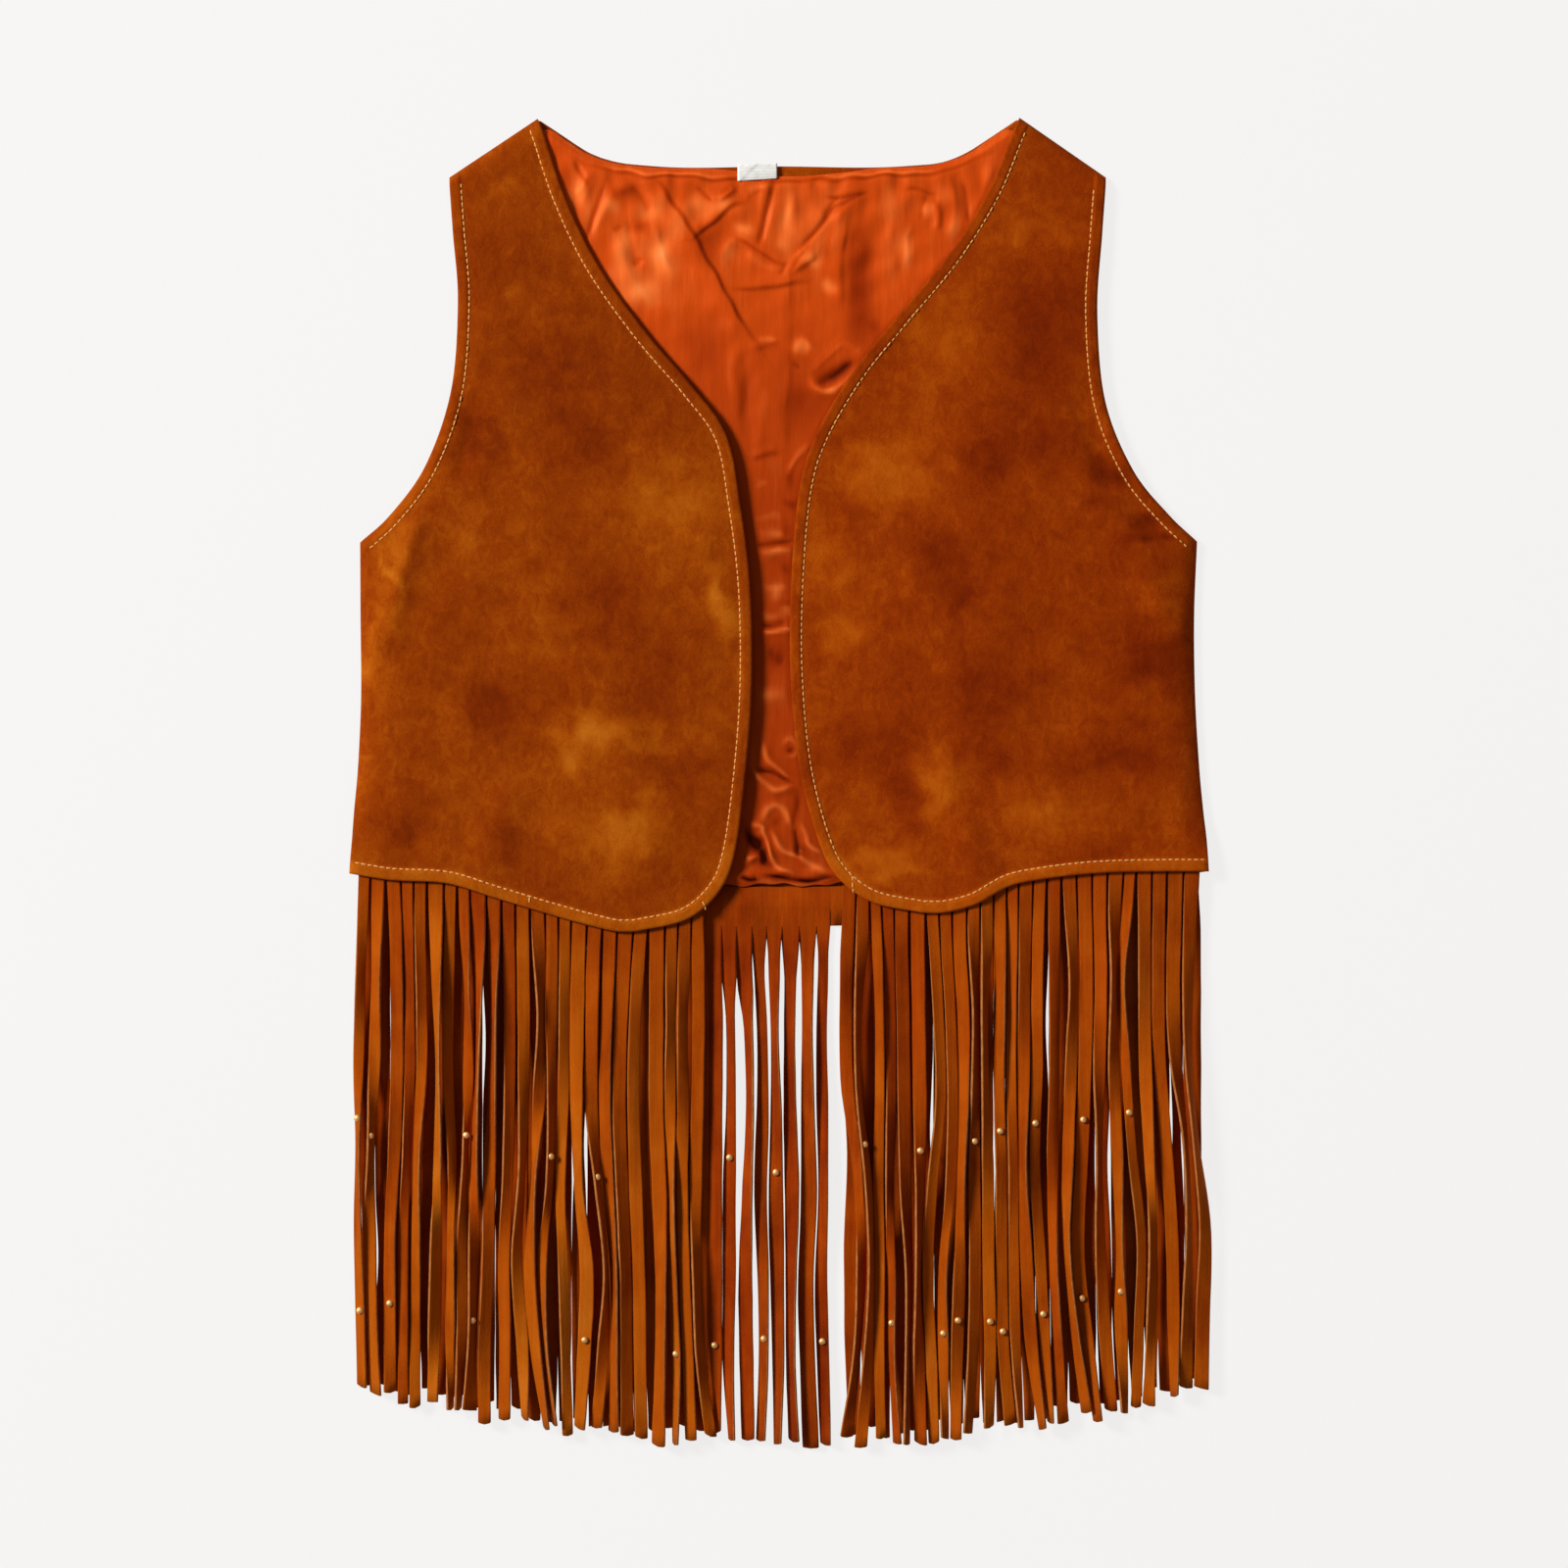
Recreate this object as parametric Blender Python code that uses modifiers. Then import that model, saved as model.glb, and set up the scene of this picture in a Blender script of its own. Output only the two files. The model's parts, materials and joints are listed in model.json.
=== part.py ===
"""Fringed suede vest, open down the front, lying flat on its back.

X runs across the vest, Y from the hem up to the shoulders, and Z up from the surface it lies on.
The wearer's right front is on the -X side. Sizes and tables are in millimetres; meshes are in metres.
"""

from collections import namedtuple

import bmesh
import bpy
import numpy as np
from mathutils import Vector
from mathutils.bvhtree import BVHTree

MM = 0.001

# Driving dimensions
SUEDE = 1.5  # wall of the fronts and the back
LINING = 1.0  # wall of the satin lining
SEAM_GAP = 0.3  # clear space between two pieces that are sewn together
SIDE_ROLL = 7.0  # how quickly a front rises from its side seam
FRINGE_LENGTH = 264.0  # of the back's strands at the centre
FRINGE_SIDE_LOSS = 13.0  # how much shorter they would be at the sides
STRAND_PITCH = 7.7
STRAND_GAP = 0.4  # the least space between two strands
STRAND_WALL = 1.2
STRAND_STATIONS = (0.0, 0.07, 0.2, 0.35, 0.52, 0.69, 0.85, 1.0)  # shares of the length
FLOOR_CLEARANCE = 0.8  # strands lie just above the surface

# Heights worked out from the layers
BACK_TOP = SUEDE
LINING_UNDER = BACK_TOP + SEAM_GAP
BACK_STRIP_MID = BACK_TOP + SEAM_GAP + STRAND_WALL / 2

Section = namedtuple("Section", "name side_x side_y edge_x edge_y side_air crown_air edge_air")
Fold = namedtuple("Fold", "from_x from_y to_x to_y width height")
HemPoint = namedtuple("HemPoint", "share lift")
TopPoint = namedtuple("TopPoint", "share x y")
Fringe = namedtuple("Fringe", "name seed bed turn_limit turn_spread sway tip_drift slit corner_trim")

# A front is lofted through these sections, from the hem up to the shoulder seam. Each one runs from
# the side seam or armhole to the front edge or neckline. The last three columns are the height of the
# front's underside over the back: at the side, along the middle, and at the front edge.
RIGHT_FRONT = [
    Section("hem", -218.5, -45.5, -72.5, -75.0, 5.0, 5.9, 6.0),
    Section("corner_low", -218.0, -38.0, -47.0, -69.0, 4.9, 5.9, 6.1),
    Section("corner_mid", -217.3, -28.0, -30.5, -55.0, 3.4, 5.9, 6.2),
    Section("corner_top", -216.5, -14.0, -22.5, -35.5, 1.2, 5.9, 6.4),
    Section("hip", -214.5, 10.0, -17.0, 4.0, SEAM_GAP, 5.8, 6.8),
    Section("waist", -213.0, 45.0, -13.7, 50.0, SEAM_GAP, 6.0, 7.0),
    Section("ribs", -213.3, 85.0, -14.5, 100.0, SEAM_GAP, 6.2, 6.8),
    Section("underarm", -213.5, 123.0, -19.5, 142.0, SEAM_GAP, 6.2, 6.4),
    Section("chest_low", -198.0, 137.0, -26.5, 177.0, 2.0, 6.0, 6.0),
    Section("chest_top", -180.0, 162.0, -44.0, 202.0, 2.4, 5.6, 5.2),
    Section("arm_mid", -167.0, 200.0, -67.5, 229.5, 2.4, 5.0, 4.4),
    Section("arm_top", -163.5, 245.0, -92.0, 264.0, 2.2, 4.4, 3.8),
    Section("yoke", -166.0, 280.0, -108.5, 298.0, 2.2, 3.8, 3.4),
    Section("roll", -167.6, 302.0, -119.5, 330.5, 2.0, 2.8, 2.6),
    Section("shoulder", -168.0, 309.0, -123.0, 339.0, SEAM_GAP, SEAM_GAP, SEAM_GAP),
]
LEFT_FRONT = [
    Section("hem", 218.5, -44.5, 72.5, -65.5, 5.0, 5.9, 5.9),
    Section("corner_low", 218.0, -36.0, 47.0, -60.0, 4.9, 5.9, 5.9),
    Section("corner_mid", 217.3, -26.0, 29.0, -46.5, 3.4, 5.8, 5.7),
    Section("corner_top", 216.0, -13.0, 19.0, -26.0, 1.2, 5.7, 5.0),
    Section("hip", 214.0, 10.0, 10.0, 10.0, SEAM_GAP, 5.7, 4.3),
    Section("waist", 212.0, 45.0, 5.8, 55.0, SEAM_GAP, 5.8, 4.0),
    Section("ribs", 211.5, 85.0, 6.0, 100.0, SEAM_GAP, 6.0, 4.0),
    Section("underarm", 213.0, 123.5, 10.0, 148.0, SEAM_GAP, 6.0, 4.0),
    Section("chest_low", 198.0, 137.5, 18.5, 177.0, 2.0, 5.8, 4.0),
    Section("chest_top", 180.0, 160.0, 37.0, 209.0, 2.4, 5.4, 4.0),
    Section("arm_mid", 166.0, 195.0, 59.0, 236.5, 2.4, 5.0, 3.8),
    Section("arm_top", 162.0, 240.0, 86.0, 269.0, 2.2, 4.4, 3.6),
    Section("yoke", 164.5, 280.0, 106.0, 301.0, 2.2, 3.8, 3.4),
    Section("roll", 166.1, 302.0, 118.5, 331.0, 2.0, 2.8, 2.6),
    Section("shoulder", 166.5, 309.0, 122.5, 339.5, SEAM_GAP, SEAM_GAP, SEAM_GAP),
]
CORNER_ROW = "underarm"  # the only sharp corner along the side of a front
STEPS_PER_SECTION = 2
FRONT_COLUMNS = 12
EDGE_RISE_FROM = 0.5  # share across a front where its height begins to change towards the front edge
SHOULDER_SECTIONS = 3.0  # folds fade out over this many sections below the shoulder

# How far each hem lifts above the straight line between its two ends, along that line.
RIGHT_HEM = [
    HemPoint(0.0, 0.0),
    HemPoint(0.13, 0.7),
    HemPoint(0.36, 5.0),
    HemPoint(0.50, 2.7),
    HemPoint(0.70, -0.2),
    HemPoint(0.91, -1.0),
    HemPoint(1.0, 0.0),
]
LEFT_HEM = [
    HemPoint(0.0, 0.0),
    HemPoint(0.16, 3.4),
    HemPoint(0.44, 7.8),
    HemPoint(0.58, 8.2),
    HemPoint(0.69, 7.2),
    HemPoint(0.82, 0.0),
    HemPoint(0.90, -1.1),
    HemPoint(1.0, 0.0),
]
HEM_REACH = 34.0  # the hem's waves fade out this far above it

# The largest soft folds in each front, as ridges and troughs along a line.
RIGHT_FOLDS = [
    Fold(-186.0, 128.0, -198.0, 78.0, 9.0, 1.4),
    Fold(-156.0, 190.0, -162.0, 160.0, 7.0, -1.1),
    Fold(-150.0, -48.0, -138.0, -10.0, 10.0, 1.0),
    Fold(-95.0, 40.0, -70.0, -20.0, 22.0, 0.9),
]
LEFT_FOLDS = [
    Fold(153.0, 190.0, 188.0, 133.0, 8.0, -1.6),
    Fold(182.0, 118.0, 200.0, 78.0, 10.0, 1.2),
    Fold(103.0, -58.0, 94.0, -20.0, 8.0, 1.3),
    Fold(70.0, 120.0, 95.0, 40.0, 24.0, 0.9),
]

# The neck and hem of the back, and the edges of the lining inside them.
BACK_NECK = [
    (-108.5, 329.4),
    (-97.5, 322.2),
    (-84.0, 317.4),
    (-67.5, 315.4),
    (0.0, 315.0),
    (67.5, 315.4),
    (84.0, 317.2),
    (95.0, 321.6),
    (107.5, 329.6),
]
BACK_HEM_RAISE = 1.0  # at the sides, above the fronts' hem
BACK_HEM_CENTRE_DROP = 18.0
OUTLINE_POINTS = 25  # along the neck, and along the hem
BACK_SIDE_TUCK = 1.0  # the back stays hidden behind the fronts
LINING_SIDE_INSET = 8.0
LINING_HEM_CENTRE = -53.0
LINING_HEM_SIDE = -35.0
LINING_COLUMNS = 20
LINING_TOP = [
    TopPoint(0.0, -158.0, 299.0),
    TopPoint(0.1, -119.5, 333.5),
    TopPoint(0.15, -108.5, 328.0),
    TopPoint(0.2, -97.5, 320.9),
    TopPoint(0.25, -84.0, 316.3),
    TopPoint(0.3, -67.5, 314.4),
    TopPoint(0.4, -36.0, 313.6),
    TopPoint(0.45, -22.0, 312.4),
    TopPoint(0.5, -1.0, 309.9),
    TopPoint(0.55, 14.0, 310.0),
    TopPoint(0.6, 25.0, 310.9),
    TopPoint(0.65, 38.0, 312.3),
    TopPoint(0.7, 52.0, 314.0),
    TopPoint(0.75, 76.0, 315.0),
    TopPoint(0.8, 95.0, 320.4),
    TopPoint(0.85, 107.5, 328.4),
    TopPoint(0.9, 119.0, 333.8),
    TopPoint(1.0, 156.5, 299.0),
]
LINING_HEM_RISE = 1.55  # the lower edge of the lining rides up over the fringe strip
LINING_HEM_RISE_REACH = 10.0
LINING_CORNER_POWER = 6  # how quickly its sides swing in to its corners
LINING_CALM_HEM = 0.03  # shares of its height without folds, at the hem and at the neck
LINING_CALM_NECK = 0.04
LINING_FOLDS = [
    Fold(-62.5, 305.0, -12.0, 222.0, 8.0, 1.6),
    Fold(36.0, 300.0, 9.0, 263.0, 7.0, 1.3),
    Fold(16.0, 204.0, 38.0, 216.0, 7.0, 1.0),
    Fold(2.5, 265.0, 2.5, 182.0, 7.0, 0.9),
    Fold(43.0, 295.0, 37.0, 232.0, 9.0, 1.3),
    Fold(-92.0, 292.0, -77.0, 250.0, 8.0, 1.0),
    Fold(-14.0, 120.0, 4.0, 120.0, 8.0, 0.9),
    Fold(-12.0, 80.0, 4.0, 78.0, 8.0, 1.0),
    Fold(-12.0, -22.0, 8.0, -34.0, 8.0, 1.0),
]

# The fringe: a strip sewn inside each hem, cut into strands.
FRINGES = [
    Fringe("fringe_right_front", 11, 4.8, 66.0, 0.75, 6.0, (-2.0, 1.0), 1.1, 10.5),
    Fringe("fringe_left_front", 23, 4.8, 66.0, 0.75, 6.0, (1.0, 6.0), 1.1, 5.0),
    Fringe("fringe_back", 37, FLOOR_CLEARANCE, 7.0, 0.55, 3.6, (-1.0, 2.0), 0.4, 0.0),
]
FRINGE_CORNER_ROWS = 4  # a front's fringe follows its rounded corner this far up, less the trim
FRONT_STRIP_DEPTH = 9.0  # how far the strip reaches up inside a front
FRONT_STRIP_FOOT = 1.0  # it is cut from just inside the hem
FRONT_STRIP_SLACK = 0.5  # it hangs this much lower than the seam needs
BACK_STRIP_DEPTH = 10.0
BACK_STRIP_BEND = 0.8  # it bends down just below the back's hem
BACK_STRIP_BELOW = 10.0  # how far the back strip shows below the back's hem before it is cut
STRIP_END = 4.0  # the strip stops short of the side seam
OPEN_CUTS = (-37.0, -29.5, -22.0, -14.0, -6.7, 1.5, 10.0, 18.9, 26.0, 33.0)  # between the two fronts
OPEN_TURNS = (12.0, 68.0)  # the back strands turn there, so that the surface shows between them
OPEN_MARGIN = 8.0
HEM_POINTS = 80  # along a hem, to measure distances on it
TURN_KNOTS = 5  # places down a strand where its turn is chosen, and where its sway is
SWAY_KNOTS = 4
SWAY_WAVES = (5.0, 11.0, 23.0)  # strands to a wave, for the slow sway along the fringe
SPREAD_PASSES = 400
COVERED_SWAY = 0.07  # the share of the back strands' sway where the fronts' fringe lies on them
COVERED_LOSS = 4.5  # they are this much shorter there
LOST_STRAND = 29.5  # one strand is missing here
OWN_SWAY = 0.7  # how far a strand sways apart from its neighbours
LENGTH_SPREAD = 3.5
PITCH_SPREAD = 0.16

# The neck label, a small bare tab sewn in at the back neck.
LABEL_SIZE = (20.2, 9.0, 1.0)
LABEL_CENTRE = (-11.0, 311.5)


def smooth(knots, values, at):
    """A smooth curve through values at the knots, read at the places in at."""
    knots = np.asarray(knots, float)
    values = np.asarray(values, float)
    slopes = np.gradient(values, knots, axis=0)
    span = np.clip(np.searchsorted(knots, at, side="right") - 1, 0, len(knots) - 2)
    width = knots[span + 1] - knots[span]
    t = (at - knots[span]) / width
    if values.ndim > 1:
        t, width = t[:, None], width[:, None]
    start, end = values[span], values[span + 1]
    start_slope, end_slope = slopes[span] * width, slopes[span + 1] * width
    return (
        start * (2 * t**3 - 3 * t**2 + 1)
        + start_slope * (t**3 - 2 * t**2 + t)
        + end * (3 * t**2 - 2 * t**3)
        + end_slope * (t**3 - t**2)
    )


def ease(low, high, value):
    """0 below low, 1 above high, and a smooth step between them."""
    t = np.clip((value - low) / (high - low), 0, 1)
    return t * t * (3 - 2 * t)


def fold_height(folds, x, y):
    """The height that the folds add at each point: a rounded ridge or trough along each fold's line."""
    height = np.zeros_like(x)
    for fold in folds:
        run = np.array([fold.to_x - fold.from_x, fold.to_y - fold.from_y])
        along = ((x - fold.from_x) * run[0] + (y - fold.from_y) * run[1]) / (run @ run)
        along = np.clip(along, 0, 1)
        away = np.hypot(x - fold.from_x - along * run[0], y - fold.from_y - along * run[1])
        height += fold.height * np.exp(-((away / fold.width) ** 2))
    return height


def section_rows(sections):
    """Where the loft has its rows, counted in sections."""
    return np.linspace(0, len(sections) - 1, (len(sections) - 1) * STEPS_PER_SECTION + 1)


def side_line(sections, rows):
    """The side seam and armhole, which meet in a corner at the underarm."""
    corner = [section.name for section in sections].index(CORNER_ROW)
    points = np.array([(section.side_x, section.side_y) for section in sections])
    counts = np.arange(len(sections))
    seam = smooth(counts[: corner + 1], points[: corner + 1], np.minimum(rows, corner))
    armhole = smooth(counts[corner:], points[corner:], np.maximum(rows, corner))
    return np.where((rows <= corner)[:, None], seam, armhole)


def front_surface(sections, hem, folds):
    """The underside of a front as a grid of points, from hem to shoulder and from side to front edge."""
    rows = section_rows(sections)
    counts = np.arange(len(sections))
    side = side_line(sections, rows)
    edge = smooth(counts, [(section.edge_x, section.edge_y) for section in sections], rows)
    air = smooth(counts, [section[5:8] for section in sections], rows)
    air = np.maximum(air, SEAM_GAP)
    u = 0.5 - 0.5 * np.cos(np.pi * np.linspace(0, 1, FRONT_COLUMNS + 1))
    flat = side[:, None, :] * (1 - u)[None, :, None] + edge[:, None, :] * u[None, :, None]
    x, y = flat[..., 0], flat[..., 1]
    lift = smooth([point.share for point in hem], [point.lift for point in hem], u)
    above_hem = y - y[0]
    y = y + lift[None, :] * (1 - ease(0.0, HEM_REACH, above_hem))
    from_side = np.hypot(edge[:, 0] - side[:, 0], edge[:, 1] - side[:, 1])[:, None] * u[None, :]
    rise = 1 - np.exp(-from_side / SIDE_ROLL)
    towards_edge = ease(EDGE_RISE_FROM, 1.0, u)[None, :]
    side_air, crown_air, edge_air = (air[:, i][:, None] for i in range(3))
    z = side_air + (crown_air - side_air) * rise
    z = z + (edge_air - crown_air) * towards_edge
    inner = ease(0.0, SIDE_ROLL, from_side) * ease(0.0, SHOULDER_SECTIONS, len(sections) - 1 - rows)[:, None]
    z = z + fold_height(folds, x, y) * inner
    return np.stack([x, y, BACK_TOP + z], axis=-1)


def back_hem_y(x):
    """The back's hem, lowest at the centre."""
    half = abs(RIGHT_FRONT[0].side_x)
    return RIGHT_FRONT[0].side_y + BACK_HEM_RAISE - BACK_HEM_CENTRE_DROP * (1 - (x / half) ** 2)


def tip_line_y(x):
    """Where the strands of all three fringes are cut off: one line that rises towards the sides."""
    half = abs(RIGHT_FRONT[0].side_x)
    return back_hem_y(x) - BACK_STRIP_BELOW - FRINGE_LENGTH + FRINGE_SIDE_LOSS * (x / half) ** 2


def back_outline():
    """The back's edge, once round: right side, neck, left side and hem."""
    rows = section_rows(RIGHT_FRONT)
    right = side_line(RIGHT_FRONT, rows) + [BACK_SIDE_TUCK, 0]
    left = side_line(LEFT_FRONT, rows) - [BACK_SIDE_TUCK, 0]
    right[0, 1] = back_hem_y(right[0, 0])
    left[0, 1] = back_hem_y(left[0, 0])
    right_neck = (RIGHT_FRONT[-1].edge_x, RIGHT_FRONT[-1].edge_y)
    left_neck = (LEFT_FRONT[-1].edge_x, LEFT_FRONT[-1].edge_y)
    neck = np.array([right_neck, *BACK_NECK, left_neck])
    neck = smooth(neck[:, 0], neck, np.linspace(neck[0, 0], neck[-1, 0], OUTLINE_POINTS))
    hem_x = np.linspace(left[0, 0], right[0, 0], OUTLINE_POINTS)[1:-1]
    hem = np.stack([hem_x, back_hem_y(hem_x)], axis=-1)
    return np.concatenate([right, neck, left[::-1], hem])


def lining_surface():
    """The underside of the back lining: a patch between its hem, its two sides, and the shoulders and neck."""
    rows = section_rows(RIGHT_FRONT)
    v = rows / rows[-1]
    u = np.linspace(0, 1, LINING_COLUMNS + 1)
    right = side_line(RIGHT_FRONT, rows) + [LINING_SIDE_INSET, 0]
    left = side_line(LEFT_FRONT, rows) - [LINING_SIDE_INSET, 0]
    shares = [point.share for point in LINING_TOP]
    top = np.stack(
        [np.interp(u, shares, [getattr(point, axis) for point in LINING_TOP]) for axis in "xy"], axis=-1
    )
    hem_x = right[0, 0] + (left[0, 0] - right[0, 0]) * u
    hem_curve = 1 - (2 * u - 1) ** 2
    hem_y = LINING_HEM_SIDE + (LINING_HEM_CENTRE - LINING_HEM_SIDE) * hem_curve
    hem = np.stack([hem_x, hem_y], axis=-1)
    to_top = v[:, None] ** LINING_CORNER_POWER
    to_hem = (1 - v[:, None]) ** LINING_CORNER_POWER
    right = right + (top[0] - right[-1]) * to_top + (hem[0] - right[0]) * to_hem
    left = left + (top[-1] - left[-1]) * to_top + (hem[-1] - left[0]) * to_hem
    across, up = u[None, :, None], v[:, None, None]
    between_ends = (1 - up) * hem[None] + up * top[None]
    between_sides = (1 - across) * right[:, None] + across * left[:, None]
    corners = (1 - up) * ((1 - across) * hem[0] + across * hem[-1]) + up * (
        (1 - across) * top[0] + across * top[-1]
    )
    flat = between_ends + between_sides - corners
    x, y = flat[..., 0], flat[..., 1]
    rise = LINING_HEM_RISE * (1 - ease(LINING_HEM_RISE_REACH / 2, LINING_HEM_RISE_REACH, y - hem_y[None]))
    edge_fade = (ease(0.0, LINING_CALM_HEM, v) * ease(0.0, LINING_CALM_NECK, 1 - v))[:, None]
    z = LINING_UNDER + rise + fold_height(LINING_FOLDS, x, y) * edge_fade
    return np.stack([x, y, z], axis=-1)


def along_path(path, distances):
    """Points on a line of points, at distances measured along it."""
    steps = np.hypot(*np.diff(path, axis=0).T)
    run = np.concatenate([[0], np.cumsum(steps)])
    return np.stack([np.interp(distances, run, path[:, i]) for i in range(2)], axis=-1)


def path_length(path):
    return np.hypot(*np.diff(path, axis=0).T).sum()


def inward_at(path, distances, reach=2.0):
    """The direction across a path that runs towards +X, pointing into the vest."""
    run = along_path(path, distances + reach) - along_path(path, distances - reach)
    run = run / np.hypot(*run.T)[:, None]
    return np.stack([-run[:, 1], run[:, 0]], axis=-1)


def front_hem_path(surface, corner_trim):
    """The line of a front's hem, and on round its lower corner, running towards +X."""
    path = np.concatenate([surface[0, :, :2], surface[1 : FRINGE_CORNER_ROWS + 1, -1, :2]])
    path = along_path(path, np.linspace(STRIP_END, path_length(path) - corner_trim, HEM_POINTS))
    return path if path[0, 0] < path[-1, 0] else path[::-1]


def back_hem_path():
    reach = abs(RIGHT_FRONT[0].side_x) - STRIP_END - BACK_SIDE_TUCK
    x = np.linspace(-reach, reach, HEM_POINTS)
    return np.stack([x, back_hem_y(x)], axis=-1)


def hand_cuts(start, end, rng):
    """Places to cut a strip into strands, a little uneven."""
    count = round((end - start) / STRAND_PITCH)
    pitches = 1 + PITCH_SPREAD * rng.uniform(-1, 1, count)
    return start + np.concatenate([[0], np.cumsum(pitches)]) * (end - start) / pitches.sum()


def strand_edges(fringe, path, rng):
    """Left and right edge of each strand, as distances along the strip."""
    length = path_length(path)
    if fringe.name == "fringe_back":
        run = np.linspace(0, length, 4 * HEM_POINTS)
        open_cuts = np.interp(OPEN_CUTS, along_path(path, run)[:, 0], run)
        before = hand_cuts(0, open_cuts[0], rng)
        after = hand_cuts(open_cuts[-1], length, rng)
        cuts = np.concatenate([before[:-1], open_cuts, after[1:]])
    else:
        cuts = hand_cuts(0, length, rng)
    return cuts[:-1] + fringe.slit / 2, cuts[1:] - fringe.slit / 2


def spread_apart(centres, half_widths):
    """Strands side by side, pushed apart until none overlap, in the same order."""
    centres = centres.copy()
    for _ in range(SPREAD_PASSES):
        overlap = half_widths[:-1] + half_widths[1:] + STRAND_GAP - np.diff(centres)
        overlap = np.maximum(overlap, 0)
        centres[:-1] -= overlap / 2
        centres[1:] += overlap / 2
    return centres


def neighbour_noise(rng, count):
    """A value for each strand that changes slowly along the fringe, so that neighbours move together."""
    index = np.arange(count)
    waves = [np.sin(2 * np.pi * (index / length + rng.uniform())) for length in SWAY_WAVES]
    return sum(waves) / len(waves) + OWN_SWAY * rng.uniform(-1, 1, count)


def strand_points(fringe, root_left, root_right, rng):
    """Left and right edge of each strand at each station below its root, as a strand by station grid."""
    count = len(root_left)
    stations = np.array(STRAND_STATIONS)
    root = (root_left + root_right) / 2
    half = np.hypot(*(root_right - root_left)[:, :2].T) / 2
    length = root[:, 1] - tip_line_y(root[:, 0]) + LENGTH_SPREAD * rng.uniform(-1, 1, count)
    turn_knots = np.linspace(0, 1, TURN_KNOTS)
    turns = rng.normal(0, fringe.turn_spread, (count, len(turn_knots)))
    turns = np.clip(turns, -1, 1) * fringe.turn_limit
    sway_share = np.ones((count, 1))
    if fringe.name == "fringe_back":
        inside = np.minimum(root[:, 0] - OPEN_CUTS[0], OPEN_CUTS[-1] - root[:, 0])
        on_edge = rng.choice([-1, 1], count)[:, None] * rng.uniform(*OPEN_TURNS, turns.shape)
        is_open = ease(0.0, OPEN_MARGIN, inside)[:, None]
        length -= COVERED_LOSS * (1 - is_open[:, 0])
        turns += (on_edge - turns) * is_open
        sway_share = COVERED_SWAY + (1 - COVERED_SWAY) * is_open
    turns[:, 0] = 0
    turns = np.radians(smooth(turn_knots, turns.T, stations).T)
    sway_knots = np.linspace(0, 1, SWAY_KNOTS)
    sways = np.stack([neighbour_noise(rng, count) for _ in sway_knots], axis=-1) * fringe.sway * sway_share
    sways[:, 0] = 0
    sways = smooth(sway_knots, sways.T, stations).T
    share_across = (root[:, 0] - root[0, 0]) / (root[-1, 0] - root[0, 0])
    drift = fringe.tip_drift[0] + (fringe.tip_drift[1] - fringe.tip_drift[0]) * share_across
    left = np.empty((count, len(stations), 3))
    right = np.empty_like(left)
    left[:, 0], right[:, 0] = root_left, root_right
    for j in range(1, len(stations)):
        t = stations[j]
        flat = half * np.cos(turns[:, j])
        edge_on = np.abs(np.sin(turns[:, j]))
        x = root[:, 0] + sways[:, j] + drift * t**3
        x = spread_apart(x, flat + edge_on * STRAND_WALL / 2)
        rest = fringe.bed + half * edge_on + STRAND_WALL / 2
        z = rest + (root[:, 2] - rest) * max(0.0, 1 - t / STRAND_STATIONS[2]) ** 2
        y = root[:, 1] - length * t
        lift = half * np.sin(turns[:, j])
        left[:, j] = np.stack([x - flat, y, z - lift], axis=-1)
        right[:, j] = np.stack([x + flat, y, z + lift], axis=-1)
    return left, right


def strip_and_strands(fringe, path, strip_rows):
    """A comb of points: rows of the strip, then the stations of the strands, by two columns a strand."""
    rng = np.random.default_rng(fringe.seed)
    left_at, right_at = strand_edges(fringe, path, rng)
    columns = np.stack([left_at, right_at], axis=-1).ravel()
    strip = [row(columns) for row in strip_rows]
    left, right = strand_points(fringe, strip[-1][0::2], strip[-1][1::2], rng)
    strands = np.stack([left, right], axis=1)[:, :, 1:]
    strands = strands.reshape(len(columns), -1, 3).transpose(1, 0, 2)
    return np.concatenate([np.stack(strip), strands])


def front_fringe_points(fringe, surface):
    """The fringe of a front, whose strip follows the front's underside just inside the hem."""
    path = front_hem_path(surface, fringe.corner_trim)
    panel = BVHTree.FromPolygons(surface.reshape(-1, 3).tolist(), grid_quads(*surface.shape[:2]))
    level = surface[..., 2].mean()
    drop = SEAM_GAP + STRAND_WALL / 2 + FRONT_STRIP_SLACK

    def strip_row(depth):
        def points(columns):
            flat = along_path(path, columns) + inward_at(path, columns) * depth
            levels = [panel.find_nearest(Vector((*point, level)))[0].z for point in flat]
            return np.column_stack([flat, np.array(levels) - drop])

        return points

    return strip_and_strands(fringe, path, [strip_row(FRONT_STRIP_DEPTH), strip_row(FRONT_STRIP_FOOT)])


def back_fringe_points(fringe):
    """The fringe of the back, whose strip lies on the inside of the back's hem and shows below it."""
    path = back_hem_path()

    def strip_row(depth, level):
        def points(columns):
            flat = along_path(path, columns) + [0, depth]
            return np.column_stack([flat, np.full(len(columns), level)])

        return points

    rows = [
        strip_row(BACK_STRIP_DEPTH, BACK_STRIP_MID),
        strip_row(-BACK_STRIP_BEND, BACK_STRIP_MID),
        strip_row(-BACK_STRIP_BELOW, FLOOR_CLEARANCE + STRAND_WALL / 2),
    ]
    return strip_and_strands(fringe, path, rows)


def grid_quads(rows, columns):
    """Faces of a grid of points, row by row."""
    return [
        (r * columns + c, r * columns + c + 1, (r + 1) * columns + c + 1, (r + 1) * columns + c)
        for r in range(rows - 1)
        for c in range(columns - 1)
    ]


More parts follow.
